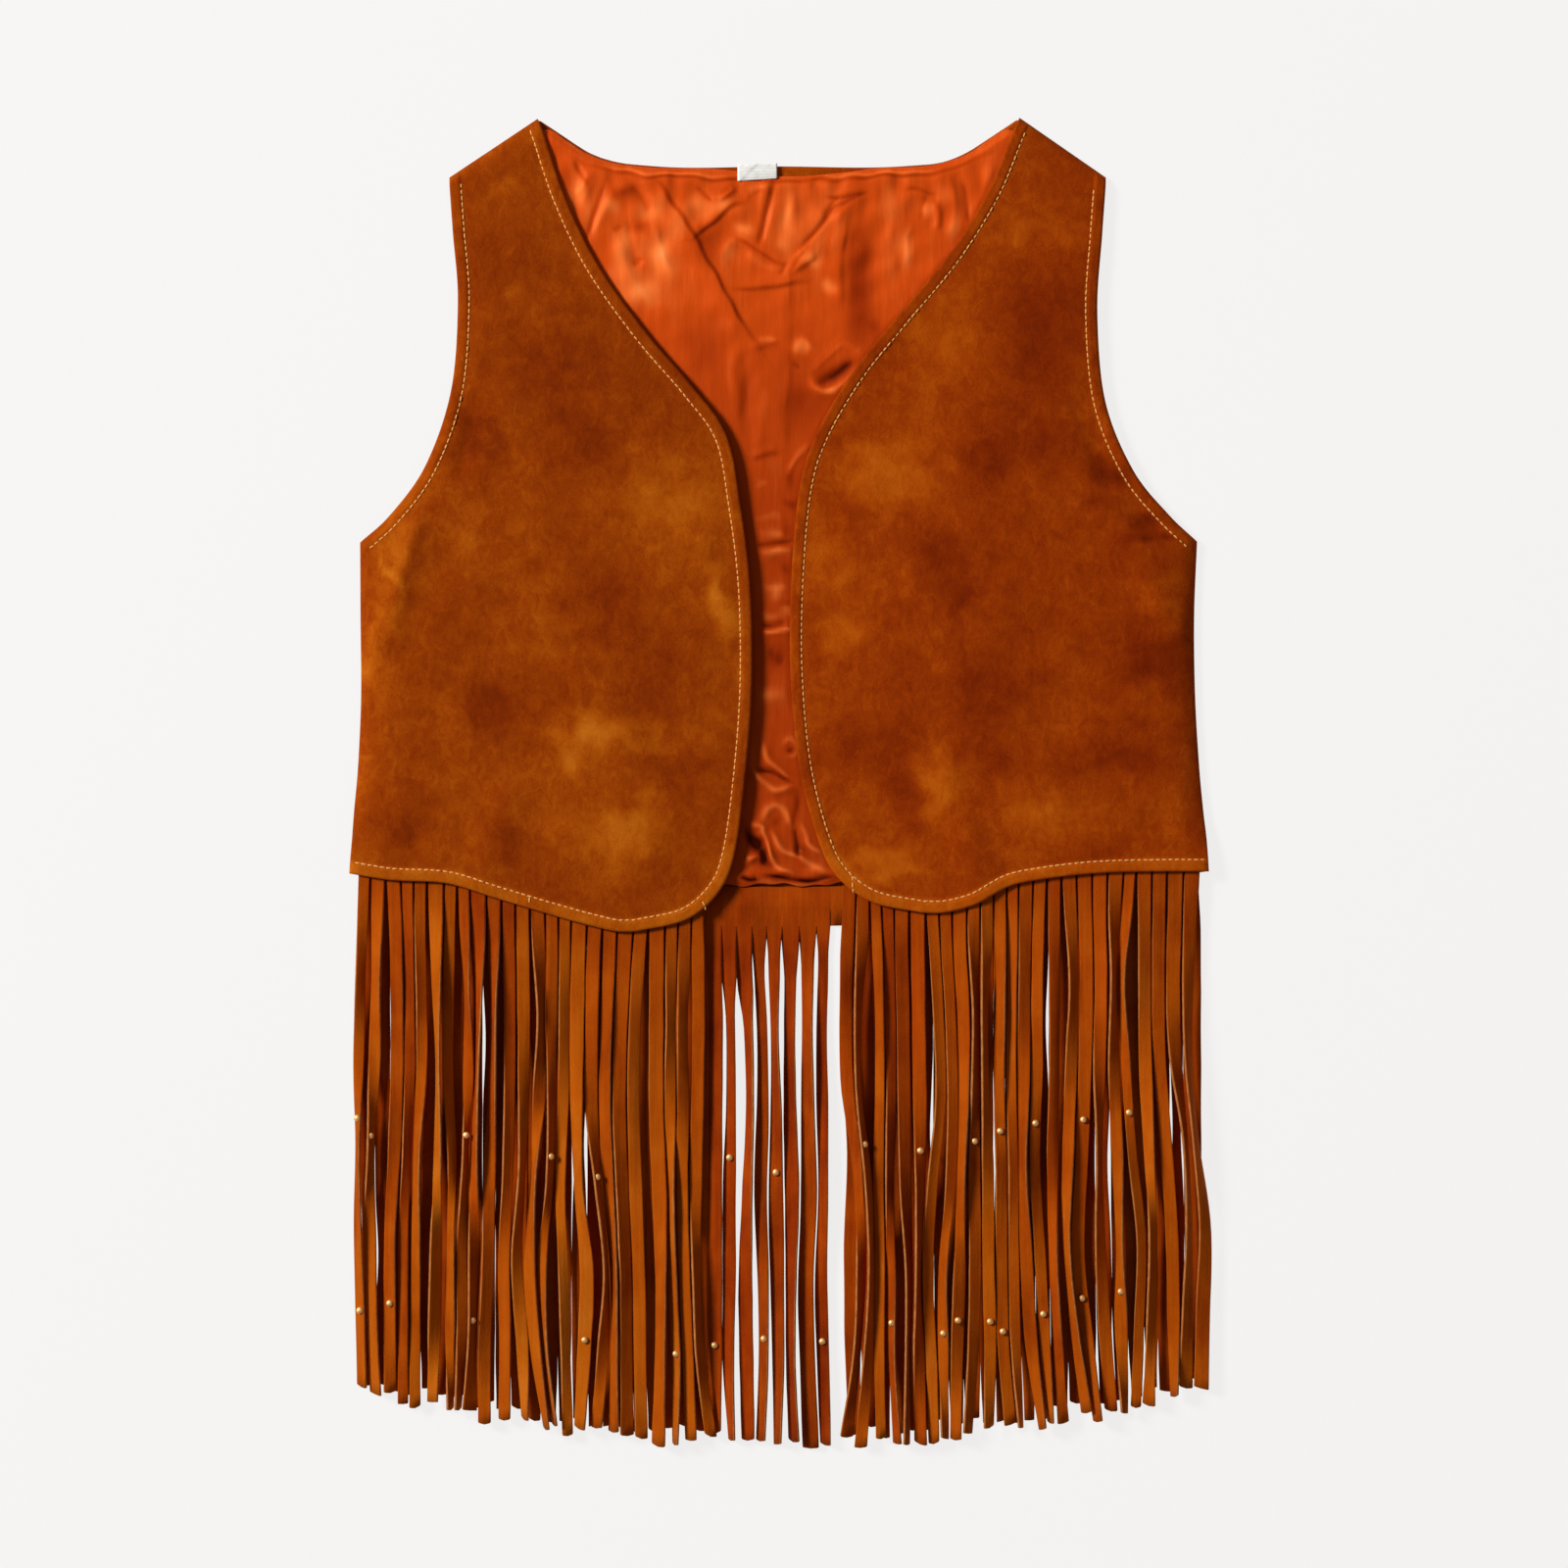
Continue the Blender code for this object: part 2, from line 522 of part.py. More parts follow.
def material(name, colour, roughness):
    made = bpy.data.materials.new(name)
    made.use_nodes = True
    shader = made.node_tree.nodes["Principled BSDF"]
    shader.inputs["Base Color"].default_value = (*colour, 1.0)
    shader.inputs["Roughness"].default_value = roughness
    shader.inputs["Metallic"].default_value = 0.0
    return made


def place(collection, name, data, finish):
    made = bpy.data.objects.new(name, data)
    data.materials.append(finish)
    collection.objects.link(made)
    return made


def bent_grid(points, keep_face=None):
    """A grid primitive whose points are moved to the rows and columns of an array, facing up."""
    rows, columns = points.shape[:2]
    grid = bmesh.new()
    bmesh.ops.create_grid(grid, x_segments=columns - 1, y_segments=rows - 1, size=1.0)
    grid.verts.ensure_lookup_table()
    row_of = {}
    for vertex in grid.verts:
        c = round((vertex.co.x + 1) / 2 * (columns - 1))
        r = round((vertex.co.y + 1) / 2 * (rows - 1))
        row_of[vertex] = (r, c)
    if keep_face:
        cut = [
            face
            for face in grid.faces
            if not keep_face(min(row_of[v][0] for v in face.verts), min(row_of[v][1] for v in face.verts))
        ]
        bmesh.ops.delete(grid, geom=cut, context="FACES")
    for vertex in grid.verts:
        vertex.co = Vector(points[row_of[vertex]]) * MM
    grid.normal_update()
    if sum(face.normal.z * face.calc_area() for face in grid.faces) < 0:
        bmesh.ops.reverse_faces(grid, faces=grid.faces)
    return grid


def sheet(collection, name, grid, wall, offset, finish):
    """A sheet of cloth: an open surface given its wall."""
    mesh = bpy.data.meshes.new(name)
    grid.to_mesh(mesh)
    grid.free()
    mesh.shade_smooth()
    made = place(collection, name, mesh, finish)
    solid = made.modifiers.new("wall", "SOLIDIFY")
    solid.thickness = wall * MM
    solid.offset = offset
    return made


def flat_plate(collection, name, outline, wall, finish):
    """A flat piece: a filled outline with its wall standing on the surface below."""
    curve = bpy.data.curves.new(name, "CURVE")
    curve.dimensions = "2D"
    curve.fill_mode = "BOTH"
    curve.extrude = wall / 2 * MM
    spline = curve.splines.new("POLY")
    spline.points.add(len(outline) - 1)
    for point, (x, y) in zip(spline.points, outline):
        point.co = (x * MM, y * MM, 0.0, 1.0)
    spline.use_cyclic_u = True
    made = place(collection, name, curve, finish)
    made.location.z = wall / 2 * MM
    return made


def small_tab(collection, name, centre, size, under, finish):
    """A thin rectangular tab lying flat at a height."""
    tab = bmesh.new()
    bmesh.ops.create_cube(tab, size=1.0)
    bmesh.ops.scale(tab, vec=Vector(size) * MM, verts=tab.verts)
    mesh = bpy.data.meshes.new(name)
    tab.to_mesh(mesh)
    tab.free()
    made = place(collection, name, mesh, finish)
    made.location = Vector((*centre, under + size[2] / 2)) * MM
    return made


def fringe_object(collection, fringe, points, strip_rows, finish):
    """A strip cut into strands: a grid with the faces between the strands taken out."""
    points = points[::-1]
    first_strip_row = len(points) - strip_rows
    root_x = points[first_strip_row, :, 0]
    lost = np.searchsorted(root_x, LOST_STRAND) - 1 if fringe.name == "fringe_back" else None

    def keep_face(row, column):
        is_strand = column % 2 == 0 and column != lost
        return row >= first_strip_row or is_strand

    return sheet(collection, fringe.name, bent_grid(points, keep_face), STRAND_WALL, 0.0, finish)


def build():
    for old in list(bpy.data.objects):
        bpy.data.objects.remove(old)
    vest = bpy.data.collections.new("Fringed suede vest")
    bpy.context.scene.collection.children.link(vest)

    suede = material("suede", (0.27, 0.042, 0.004), 0.92)
    fringe_suede = material("fringe suede", (0.22, 0.038, 0.005), 0.9)
    satin = material("lining satin", (0.60, 0.075, 0.008), 0.35)
    label_white = material("blank label", (0.85, 0.84, 0.80), 0.7)

    flat_plate(vest, "back", back_outline(), SUEDE, suede)
    sheet(vest, "back_lining", bent_grid(lining_surface()), LINING, 1.0, satin)

    right = front_surface(RIGHT_FRONT, RIGHT_HEM, RIGHT_FOLDS)
    left = front_surface(LEFT_FRONT, LEFT_HEM, LEFT_FOLDS)
    sheet(vest, "right_front", bent_grid(right), SUEDE, 1.0, suede)
    sheet(vest, "left_front", bent_grid(left), SUEDE, 1.0, suede)

    right_fringe, left_fringe, back_fringe = FRINGES
    fringe_object(vest, right_fringe, front_fringe_points(right_fringe, right), 2, fringe_suede)
    fringe_object(vest, left_fringe, front_fringe_points(left_fringe, left), 2, fringe_suede)
    fringe_object(vest, back_fringe, back_fringe_points(back_fringe), 3, fringe_suede)

    lining_top = LINING_UNDER + LINING
    small_tab(vest, "neck_label", LABEL_CENTRE, LABEL_SIZE, lining_top + 2 * SEAM_GAP, label_white)


build()
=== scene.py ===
import json

import bpy
import numpy as np
from mathutils import Vector
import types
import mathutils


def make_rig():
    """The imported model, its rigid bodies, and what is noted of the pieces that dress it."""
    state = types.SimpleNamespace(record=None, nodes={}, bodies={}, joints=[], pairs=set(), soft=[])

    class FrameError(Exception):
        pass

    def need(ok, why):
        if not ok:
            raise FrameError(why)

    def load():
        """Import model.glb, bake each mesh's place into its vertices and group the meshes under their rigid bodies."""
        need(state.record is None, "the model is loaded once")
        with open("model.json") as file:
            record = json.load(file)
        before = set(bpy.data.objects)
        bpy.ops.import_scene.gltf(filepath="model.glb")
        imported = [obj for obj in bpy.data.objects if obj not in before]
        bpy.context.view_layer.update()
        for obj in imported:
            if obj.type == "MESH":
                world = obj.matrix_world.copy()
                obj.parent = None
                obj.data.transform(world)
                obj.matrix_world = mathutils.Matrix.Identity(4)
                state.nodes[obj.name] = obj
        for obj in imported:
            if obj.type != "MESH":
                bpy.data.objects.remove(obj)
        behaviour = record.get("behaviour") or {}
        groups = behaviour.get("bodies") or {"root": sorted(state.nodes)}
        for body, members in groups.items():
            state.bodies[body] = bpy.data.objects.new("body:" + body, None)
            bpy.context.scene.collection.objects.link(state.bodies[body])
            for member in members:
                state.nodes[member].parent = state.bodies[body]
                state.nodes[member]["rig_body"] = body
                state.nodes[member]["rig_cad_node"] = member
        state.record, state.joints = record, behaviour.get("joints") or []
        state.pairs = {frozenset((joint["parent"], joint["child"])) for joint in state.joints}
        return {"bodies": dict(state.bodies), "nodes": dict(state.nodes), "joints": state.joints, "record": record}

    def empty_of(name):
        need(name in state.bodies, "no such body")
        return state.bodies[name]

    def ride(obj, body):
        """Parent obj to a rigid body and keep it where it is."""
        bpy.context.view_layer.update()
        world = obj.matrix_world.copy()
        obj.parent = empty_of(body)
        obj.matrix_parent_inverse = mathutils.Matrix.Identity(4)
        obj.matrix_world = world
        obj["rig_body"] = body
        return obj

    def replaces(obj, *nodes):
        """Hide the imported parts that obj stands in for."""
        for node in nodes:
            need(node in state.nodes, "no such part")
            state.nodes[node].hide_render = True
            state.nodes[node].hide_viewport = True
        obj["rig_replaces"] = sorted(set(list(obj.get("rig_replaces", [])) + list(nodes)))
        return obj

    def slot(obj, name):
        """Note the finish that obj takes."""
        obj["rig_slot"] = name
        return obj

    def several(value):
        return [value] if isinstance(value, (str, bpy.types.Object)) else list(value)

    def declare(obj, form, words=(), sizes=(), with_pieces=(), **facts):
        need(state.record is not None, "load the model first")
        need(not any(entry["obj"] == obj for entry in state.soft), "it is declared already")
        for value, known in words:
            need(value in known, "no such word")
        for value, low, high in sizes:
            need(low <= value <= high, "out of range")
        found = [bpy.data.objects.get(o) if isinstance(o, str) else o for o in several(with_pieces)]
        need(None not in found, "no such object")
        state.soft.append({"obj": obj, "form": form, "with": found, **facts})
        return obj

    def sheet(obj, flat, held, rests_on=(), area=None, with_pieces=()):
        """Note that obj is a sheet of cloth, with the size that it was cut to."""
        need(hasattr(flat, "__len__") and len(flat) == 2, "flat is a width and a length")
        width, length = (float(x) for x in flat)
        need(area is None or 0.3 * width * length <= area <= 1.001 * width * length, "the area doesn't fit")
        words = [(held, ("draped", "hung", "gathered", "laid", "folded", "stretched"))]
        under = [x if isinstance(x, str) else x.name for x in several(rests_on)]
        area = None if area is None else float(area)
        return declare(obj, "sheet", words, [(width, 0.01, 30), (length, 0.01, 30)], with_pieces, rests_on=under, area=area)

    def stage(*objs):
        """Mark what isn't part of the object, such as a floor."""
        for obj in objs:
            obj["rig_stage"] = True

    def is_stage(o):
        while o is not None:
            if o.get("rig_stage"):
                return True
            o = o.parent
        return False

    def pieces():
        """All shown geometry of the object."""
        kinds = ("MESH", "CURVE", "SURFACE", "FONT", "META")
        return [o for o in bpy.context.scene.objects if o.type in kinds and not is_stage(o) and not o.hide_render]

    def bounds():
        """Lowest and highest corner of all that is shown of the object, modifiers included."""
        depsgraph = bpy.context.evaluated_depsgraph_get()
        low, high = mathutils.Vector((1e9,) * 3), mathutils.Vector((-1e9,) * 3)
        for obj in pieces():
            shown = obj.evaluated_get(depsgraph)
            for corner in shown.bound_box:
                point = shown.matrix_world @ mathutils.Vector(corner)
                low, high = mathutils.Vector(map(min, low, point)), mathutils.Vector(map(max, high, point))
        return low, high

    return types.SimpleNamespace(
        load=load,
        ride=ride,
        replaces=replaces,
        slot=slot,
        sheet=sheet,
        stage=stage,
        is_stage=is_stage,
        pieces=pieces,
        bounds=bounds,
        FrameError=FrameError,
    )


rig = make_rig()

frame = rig.load()
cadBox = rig.bounds()

# Sizes are millimetres in the frame's axes: X across the vest, Y up to the neck, Z off the floor.
# The wearer's right front is on -X. Meshes are made in metres.
mm = 0.001
wall = {"suede": 1.5, "lining": 0.8, "strand": 1.2, "label": 0.45}
gap = 0.3  # clear space between two pieces that are sewn together
backTop = wall["suede"]
liningUnder = backTop + gap


# Shapes shared by the pieces

def ease(low, high, value):
    # 0 below low, 1 above high, and a smooth step between them
    t = np.clip((value - low) / (high - low), 0, 1)
    return t * t * (3 - 2 * t)


def smoothCurve(knots, values, at):
    # a cubic through the values at the knots, with each knot's slope taken from its neighbours
    knots, values = np.asarray(knots, float), np.asarray(values, float)
    slopes = np.gradient(values, knots, axis=0)
    span = np.clip(np.searchsorted(knots, at, side="right") - 1, 0, len(knots) - 2)
    width = knots[span + 1] - knots[span]
    t = (at - knots[span]) / width
    widen = (slice(None),) + (None,) * (values.ndim - 1)
    t, width = t[widen], width[widen]
    return (
        values[span] * (2 * t**3 - 3 * t**2 + 1)
        + slopes[span] * width * (t**3 - 2 * t**2 + t)
        + values[span + 1] * (3 * t**2 - 2 * t**3)
        + slopes[span + 1] * width * (t**3 - t**2)
    )


def lineLength(line):
    return np.hypot(*np.diff(line, axis=0).T).sum()


def alongLine(line, distances):
    # points on a line of points, at distances measured along it
    run = np.concatenate([[0], np.cumsum(np.hypot(*np.diff(line, axis=0).T))])
    return np.stack([np.interp(distances, run, line[:, i]) for i in range(2)], axis=-1)


def acrossLine(line, distances, reach=2.0):
    # unit directions square to a line, to the left of its run
    run = alongLine(line, distances + reach) - alongLine(line, distances - reach)
    run = run / np.hypot(*run.T)[:, None]
    return np.stack([-run[:, 1], run[:, 0]], axis=-1)


def nearestOnLine(line, x, y):
    # for each point: its distance from the line, its side (1 left, -1 right), and its share of the run
    start, run = line[:-1], np.diff(line, axis=0)
    lengths = np.maximum(np.hypot(*run.T), 1e-9)
    before = np.cumsum(lengths) - lengths
    dx, dy = x[..., None] - start[:, 0], y[..., None] - start[:, 1]
    along = np.clip((dx * run[:, 0] + dy * run[:, 1]) / lengths**2, 0, 1)
    away = np.hypot(dx - along * run[:, 0], dy - along * run[:, 1])
    side = np.where(run[:, 0] * dy - run[:, 1] * dx >= 0, 1.0, -1.0)
    share = (before + along * lengths) / lengths.sum()
    best = away.argmin(-1)[..., None]
    return [np.take_along_axis(values, best, -1)[..., 0] for values in (away, side, share)]


def distanceTo(line, x, y):
    # distance of each point from a line of points, a block of rows at a time
    blocks = np.array_split(np.arange(len(x)), 10)
    return np.concatenate([nearestOnLine(line, x[rows], y[rows])[0] for rows in blocks])


def bellFolds(folds, x, y):
    # the solids' folds: each adds a bell-shaped ridge or trough along a straight line
    height = np.zeros_like(x)
    for fromX, fromY, toX, toY, width, rise in folds:
        away = nearestOnLine(np.array([(fromX, fromY), (toX, toY)]), x, y)[0]
        height += rise * np.exp(-((away / width) ** 2))
    return height


def creaseRelief(creases, x, y, leastWidth=1.7, shadeWidth=0.65):
    # each crease adds a bell along a smooth curve through given points, with its own width on the left
    # and the right of the run, so that one flank can be soft and the other sharp; its painted shade lies
    # at the foot of the sharper flank, and where it is below 0 it is a painted highlight on the crest; all of
    # it dies away at both ends
    height, shading = np.zeros_like(x), np.zeros_like(x)
    for rise, leftWidth, rightWidth, shade, *points in creases:
        leftWidth, rightWidth = max(leftWidth, leastWidth), max(rightWidth, leastWidth)
        places = np.linspace(0, len(points) - 1, 5 * len(points) - 4)
        line = smoothCurve(np.arange(len(points)), points, places)
        reach = 3 * max(leftWidth, rightWidth)
        near = (abs(x - line[:, 0].mean()) < np.ptp(line[:, 0]) + reach) & (y > line[:, 1].min() - reach)
        near &= y < line[:, 1].max() + reach
        away, side, share = nearestOnLine(line, x[near], y[near])
        fade = ease(-0.08, 0.22, share) * ease(-0.08, 0.22, 1 - share)
        height[near] += rise * fade * np.exp(-((away / np.where(side > 0, leftWidth, rightWidth)) ** 2))
        narrow = min(leftWidth, rightWidth)
        foot = narrow * np.sign(rightWidth - leftWidth) if rise > 0 and shade > 0 else 0.0
        shading[near] += shade * fade * np.exp(-(((away * side - foot) / (shadeWidth * narrow)) ** 2))
    return height, shading


def softWaves(seed, x, y, wavelengths, count=5):
    # a sum of plain waves in seeded directions, from -1 to 1: the slow unevenness of a cloth that lies flat
    rng = np.random.default_rng(seed)
    total = np.zeros_like(x)
    for wavelength in wavelengths:
        for angle, phase in zip(rng.uniform(0, np.pi, count), rng.uniform(0, 2 * np.pi, count)):
            total += np.sin((x * np.cos(angle) + y * np.sin(angle)) * 2 * np.pi / wavelength + phase)
    return total / (count * len(wavelengths)) ** 0.5 / 2


def patchTone(patches, x, y):
    # soft oval patches that lighten or darken a cloth: x, y, half width, half height, tone
    tone = np.zeros_like(x)
    for atX, atY, halfX, halfY, amount in patches:
        tone += amount * np.exp(-(((x - atX) / halfX) ** 2) - ((y - atY) / halfY) ** 2)
    return tone


def nearestHeight(surface, flat):
    # height of a fine grid of points at places on it, read from its nearest point
    points = surface.reshape(-1, 3)
    away = (points[:, 0] - flat[:, :1]) ** 2 + (points[:, 1] - flat[:, 1:]) ** 2
    return points[away.argmin(1), 2]


# Meshes

def gridQuads(index):
    # quads of a grid of point numbers, row by row
    return np.stack([index[:-1, :-1], index[:-1, 1:], index[1:, 1:], index[1:, :-1]], axis=-1).reshape(-1, 4)


def addObject(name, points, faces, finishes, attributes=None):
    mesh = bpy.data.meshes.new(name)
    mesh.from_pydata((points.reshape(-1, 3) * mm).tolist(), [], faces)
    for key, values in (attributes or {}).items():
        layer = mesh.attributes.new(key, "FLOAT", "POINT")
        layer.data.foreach_set("value", np.asarray(values, np.float32).ravel())
    mesh.polygons.foreach_set("use_smooth", np.ones(len(mesh.polygons), bool))
    for finish in finishes:
        mesh.materials.append(finish)
    made = bpy.data.objects.new(name, mesh)
    bpy.context.scene.collection.objects.link(made)
    return made


def addShell(name, upper, lower, finish, attributes=None):
    # a closed shell: the upper grid, and the lower one turned over, which share the points round their rim
    rows, columns = upper.shape[:2]
    index = np.arange(rows * columns).reshape(rows, columns)
    under = index.copy()
    under[1:-1, 1:-1] = rows * columns + np.arange((rows - 2) * (columns - 2)).reshape(rows - 2, -1)
    faces = np.concatenate([gridQuads(index), gridQuads(under)[:, ::-1]])
    if upper[0, -1, 0] < upper[0, 0, 0]:  # a piece that runs towards -X is wound the other way
        faces = faces[:, ::-1]
    points = np.concatenate([upper.reshape(-1, 3), lower[1:-1, 1:-1].reshape(-1, 3)])
    both = {
        key: np.concatenate([values.ravel(), values[1:-1, 1:-1].ravel()])
        for key, values in (attributes or {}).items()
    }
    return addObject(name, points, faces.tolist(), [finish], both)


def addPlainBacked(name, upper, under, step, finish, attributes):
    # a closed shell with a fine upper face and a plain underside, which has points only at every few rows and
    # columns; the underside's cells along the rim take in all the points of the rim
    rows, columns = upper.shape[:2]
    index = np.arange(rows * columns).reshape(rows, columns)
    downRows = np.append(np.arange(0, rows - 1, step), rows - 1)
    downColumns = np.append(np.arange(0, columns - 1, step), columns - 1)
    inner = np.ix_(downRows[1:-1], downColumns[1:-1])
    low = index.copy()
    low[inner] = index.size + np.arange(low[inner].size).reshape(low[inner].shape)
    cells = gridQuads(low[np.ix_(downRows, downColumns)]).reshape(len(downRows) - 1, -1, 4)
    faces = gridQuads(index).tolist() + cells[1:-1, 1:-1].reshape(-1, 4)[:, ::-1].tolist()

    def rimCell(i, j):
        # round the cell, with every rim point on a side that lies along the rim
        r, c = downRows[i : i + 2], downColumns[j : j + 2]
        downSides = slice(r[0], r[1] + 1, 1 if j in (0, len(downColumns) - 2) else r[1] - r[0])
        acrossSides = slice(c[0], c[1] + 1, 1 if i in (0, len(downRows) - 2) else c[1] - c[0])
        near, far = low[r[0], acrossSides], low[r[1], acrossSides]
        near = near if i == 0 else near[[0, -1]]
        far = far if i == len(downRows) - 2 else far[[0, -1]]
        start, end = low[downSides, c[0]], low[downSides, c[1]]
        start = start if j == 0 else start[[0, -1]]
        end = end if j == len(downColumns) - 2 else end[[0, -1]]
        return np.concatenate([near, end[1:], far[-2::-1], start[-2:0:-1]])[::-1].tolist()

    lastRow, lastColumn = cells.shape[0] - 1, cells.shape[1] - 1
    faces += [rimCell(i, j) for i in (0, lastRow) for j in range(lastColumn + 1)]
    faces += [rimCell(i, j) for i in range(1, lastRow) for j in (0, lastColumn)]
    points = np.concatenate([upper.reshape(-1, 3), under[inner].reshape(-1, 3)])
    both = {
        key: np.concatenate([values.ravel(), values[inner].ravel()]) for key, values in attributes.items()
    }
    return addObject(name, points, faces, [finish], both)


def roundedWall(under, thickness, fromRim, radius):
    # upper and lower face of a cloth whose rim is rounded off: both faces come together at the rim
    inside = 1 - np.clip(fromRim / radius, 0, 1)
    pinch = thickness / 2 * (1 - np.sqrt(1 - inside**2))
    upper, lower = under.copy(), under.copy()
    upper[..., 2] += thickness - pinch
    lower[..., 2] += pinch
    return upper, lower


# Finishes

def tint(red, green, blue):
    # a colour as it is seen on a screen, 0 to 255, as linear light
    screen = np.array([red, green, blue]) / 255
    linear = np.where(screen <= 0.04045, screen / 12.92, ((screen + 0.055) / 1.055) ** 2.4)
    return (*linear.tolist(), 1.0)


class Wire:
    # a socket's value in a finish; sums on it add Math nodes
    def __init__(self, finish, socket):
        self.finish = finish
        self.socket = socket

    def math(self, operation, first, second):
        return self.finish.node("Math", {"operation": operation}, {0: first, 1: second})

    def __add__(self, other):
        return self.math("ADD", self, other)

    def __radd__(self, other):
        return self.math("ADD", other, self)

    def __sub__(self, other):
        return self.math("SUBTRACT", self, other)

    def __rsub__(self, other):
        return self.math("SUBTRACT", other, self)

    def __mul__(self, other):
        return self.math("MULTIPLY", self, other)

    def __rmul__(self, other):
        return self.math("MULTIPLY", other, self)


class Finish:
    # a material in the making; node() adds any node, and the rest are short forms of it
    def __init__(self, name, constants):
        self.material = bpy.data.materials.new(name)
        self.material.use_nodes = True
        self.tree = self.material.node_tree
        self.shader = self.tree.nodes["Principled BSDF"]
        for socket, value in constants.items():
            self.shader.inputs[socket].default_value = value

    def node(self, kind, settings, sockets, output=0):
        made = self.tree.nodes.new("ShaderNode" + kind)
        for key, value in settings.items():
            if key == "stops":
                ramp = made.color_ramp.elements
                while len(ramp) < len(value):
                    ramp.new(1.0)
                for element, (position, colour) in zip(ramp, value):
                    element.position, element.color = position, colour
            else:
                setattr(made, key, value)
        for key, value in sockets.items():
            self.feed(made.inputs[key], value)
        return Wire(self, made.outputs[output])

    def feed(self, socket, value):
        if isinstance(value, Wire):
            self.tree.links.new(value.socket, socket)
        else:
            socket.default_value = value

    def place(self, scale=(1, 1, 1)):
        spot = self.node("TexCoord", {}, {}, "Object")
        return self.node("Mapping", {}, {"Vector": spot, "Scale": scale})

    def noise(self, place, scale, detail=3.0, roughness=0.55, distortion=0.0):
        sockets = {
            "Vector": place,
            "Scale": scale,
            "Detail": detail,
            "Roughness": roughness,
            "Distortion": distortion,
        }
        return self.node("TexNoise", {}, sockets)

    def attribute(self, name):
        return self.node("Attribute", {"attribute_name": name}, {}, "Fac")

    def ramp(self, value, stops):
        return self.node("ValToRGB", {"stops": stops}, {0: value})

    def mix(self, factor, first, second):
        return self.node("Mix", {"data_type": "RGBA"}, {0: factor, 6: first, 7: second}, 2)

    def multiply(self, factor, colour, by):
        settings = {"data_type": "RGBA", "blend_type": "MULTIPLY"}
        return self.node("Mix", settings, {0: factor, 6: colour, 7: by}, 2)

    def bump(self, height, distance, strength=1.0):
        return self.node("Bump", {}, {"Height": height, "Distance": distance, "Strength": strength})

    def done(self, **shaderSockets):
        sockets = {"colour": "Base Color", "rough": "Roughness", "normal": "Normal"}
        for key, value in shaderSockets.items():
            self.feed(self.shader.inputs[sockets[key]], value)
        return self.material


suedeLook = {
    "tones": [  # from dark to golden brushed nap, with the painted shade and highlights of the nap patches
        (0.0, tint(86, 22, 0)),
        (0.33, tint(125, 43, 0)),
        (0.5, tint(144, 57, 1)),
        (0.67, tint(164, 76, 4)),
        (1.0, tint(190, 106, 20)),
    ],
    "redder": (1.04, 0.79, 0.5, 1.0),
    "cloudScale": 22.0,
    "mottleScale": 75.0,
    "fibreScale": 1500.0,
    "fibreDepth": 0.00022,
}


def suedeFinish():
    # brushed suede: clouds of light and dark nap, a finer mottle, and short fibres as bump; the nap attribute
    # also holds painted shade in some creases and painted light and shade on the flanks of the underarm ridge
    suede = Finish("brushedSuede", {"Specular IOR Level": 0.04, "Sheen Weight": 0.1, "Sheen Roughness": 0.45,
                                    "Sheen Tint": tint(225, 125, 40)})
    spot = suede.place()
    clouds = suede.noise(spot, suedeLook["cloudScale"], 5.0, 0.6)
    mottle = suede.noise(spot, suedeLook["mottleScale"], 4.0, 0.6, 0.8)
    brushed = suede.noise(suede.place((1, 0.6, 1)), 210.0, 4.0, 0.7, 1.0)
    fibres = suede.noise(spot, suedeLook["fibreScale"], 3.0, 0.7)
    nap = suede.attribute("nap")
    tone = 0.5 + 0.5 * (clouds - 0.5) + 0.35 * (mottle - 0.5) + 0.45 * (brushed - 0.5) + 0.35 * (fibres - 0.5)
    tone = tone + nap * 0.36
    height = fibres + 0.5 * brushed + 0.6 * mottle
    colour = suede.ramp(tone, suedeLook["tones"])
    return suede.done(
        colour=suede.multiply(suede.attribute("redder"), colour, suedeLook["redder"]),
        rough=0.98 - 0.12 * clouds,
        normal=suede.bump(height, suedeLook["fibreDepth"]),
    )


strandLook = {
    "tones": [
        (0.0, tint(108, 33, 0)),
        (0.3, tint(142, 56, 0)),
        (0.5, tint(160, 71, 2)),
        (0.7, tint(172, 84, 6)),
        (1.0, tint(186, 104, 26)),
    ],
    "redder": (0.97, 0.68, 0.4, 1.0),
    "cutEdge": (tint(140, 74, 26), tint(192, 124, 70)),
}


def strandFinish():
    # fringe suede: each strand has its own tone, with streaks down its length and paler edges from wear; its
    # attributes also carry painted shade and a painted highlight on the left edges
    strand = Finish("fringeSuede", {"Specular IOR Level": 0.05, "Sheen Weight": 0.1, "Sheen Roughness": 0.5,
                                    "Sheen Tint": tint(225, 125, 40)})
    streaks = strand.noise(strand.place((1, 0.05, 1)), 420.0, 3.0)
    mottle = strand.noise(strand.place((1, 0.5, 1)), 110.0, 4.0, 0.6)
    fibres = strand.noise(strand.place(), 1500.0, 3.0, 0.7)
    clouds = strand.noise(strand.place(), 17.0, 3.0)
    tone = strand.attribute("strandTone")
    wearAndPaintedShading = strand.attribute("wornEdge")
    shade = 0.5 + 0.35 * (streaks - 0.5) + 0.5 * (mottle - 0.5) + 0.9 * (clouds - 0.5) + 0.15 * (fibres - 0.5)
    shade = shade + tone * 0.13 + wearAndPaintedShading * 0.18
    redder = strand.attribute("redder") + 0.9 * (clouds - 0.5)
    return strand.done(
        colour=strand.multiply(redder, strand.ramp(shade, strandLook["tones"]), strandLook["redder"]),
        rough=0.97 - 0.1 * mottle,
        normal=strand.bump(fibres + streaks, 0.00025),
    )


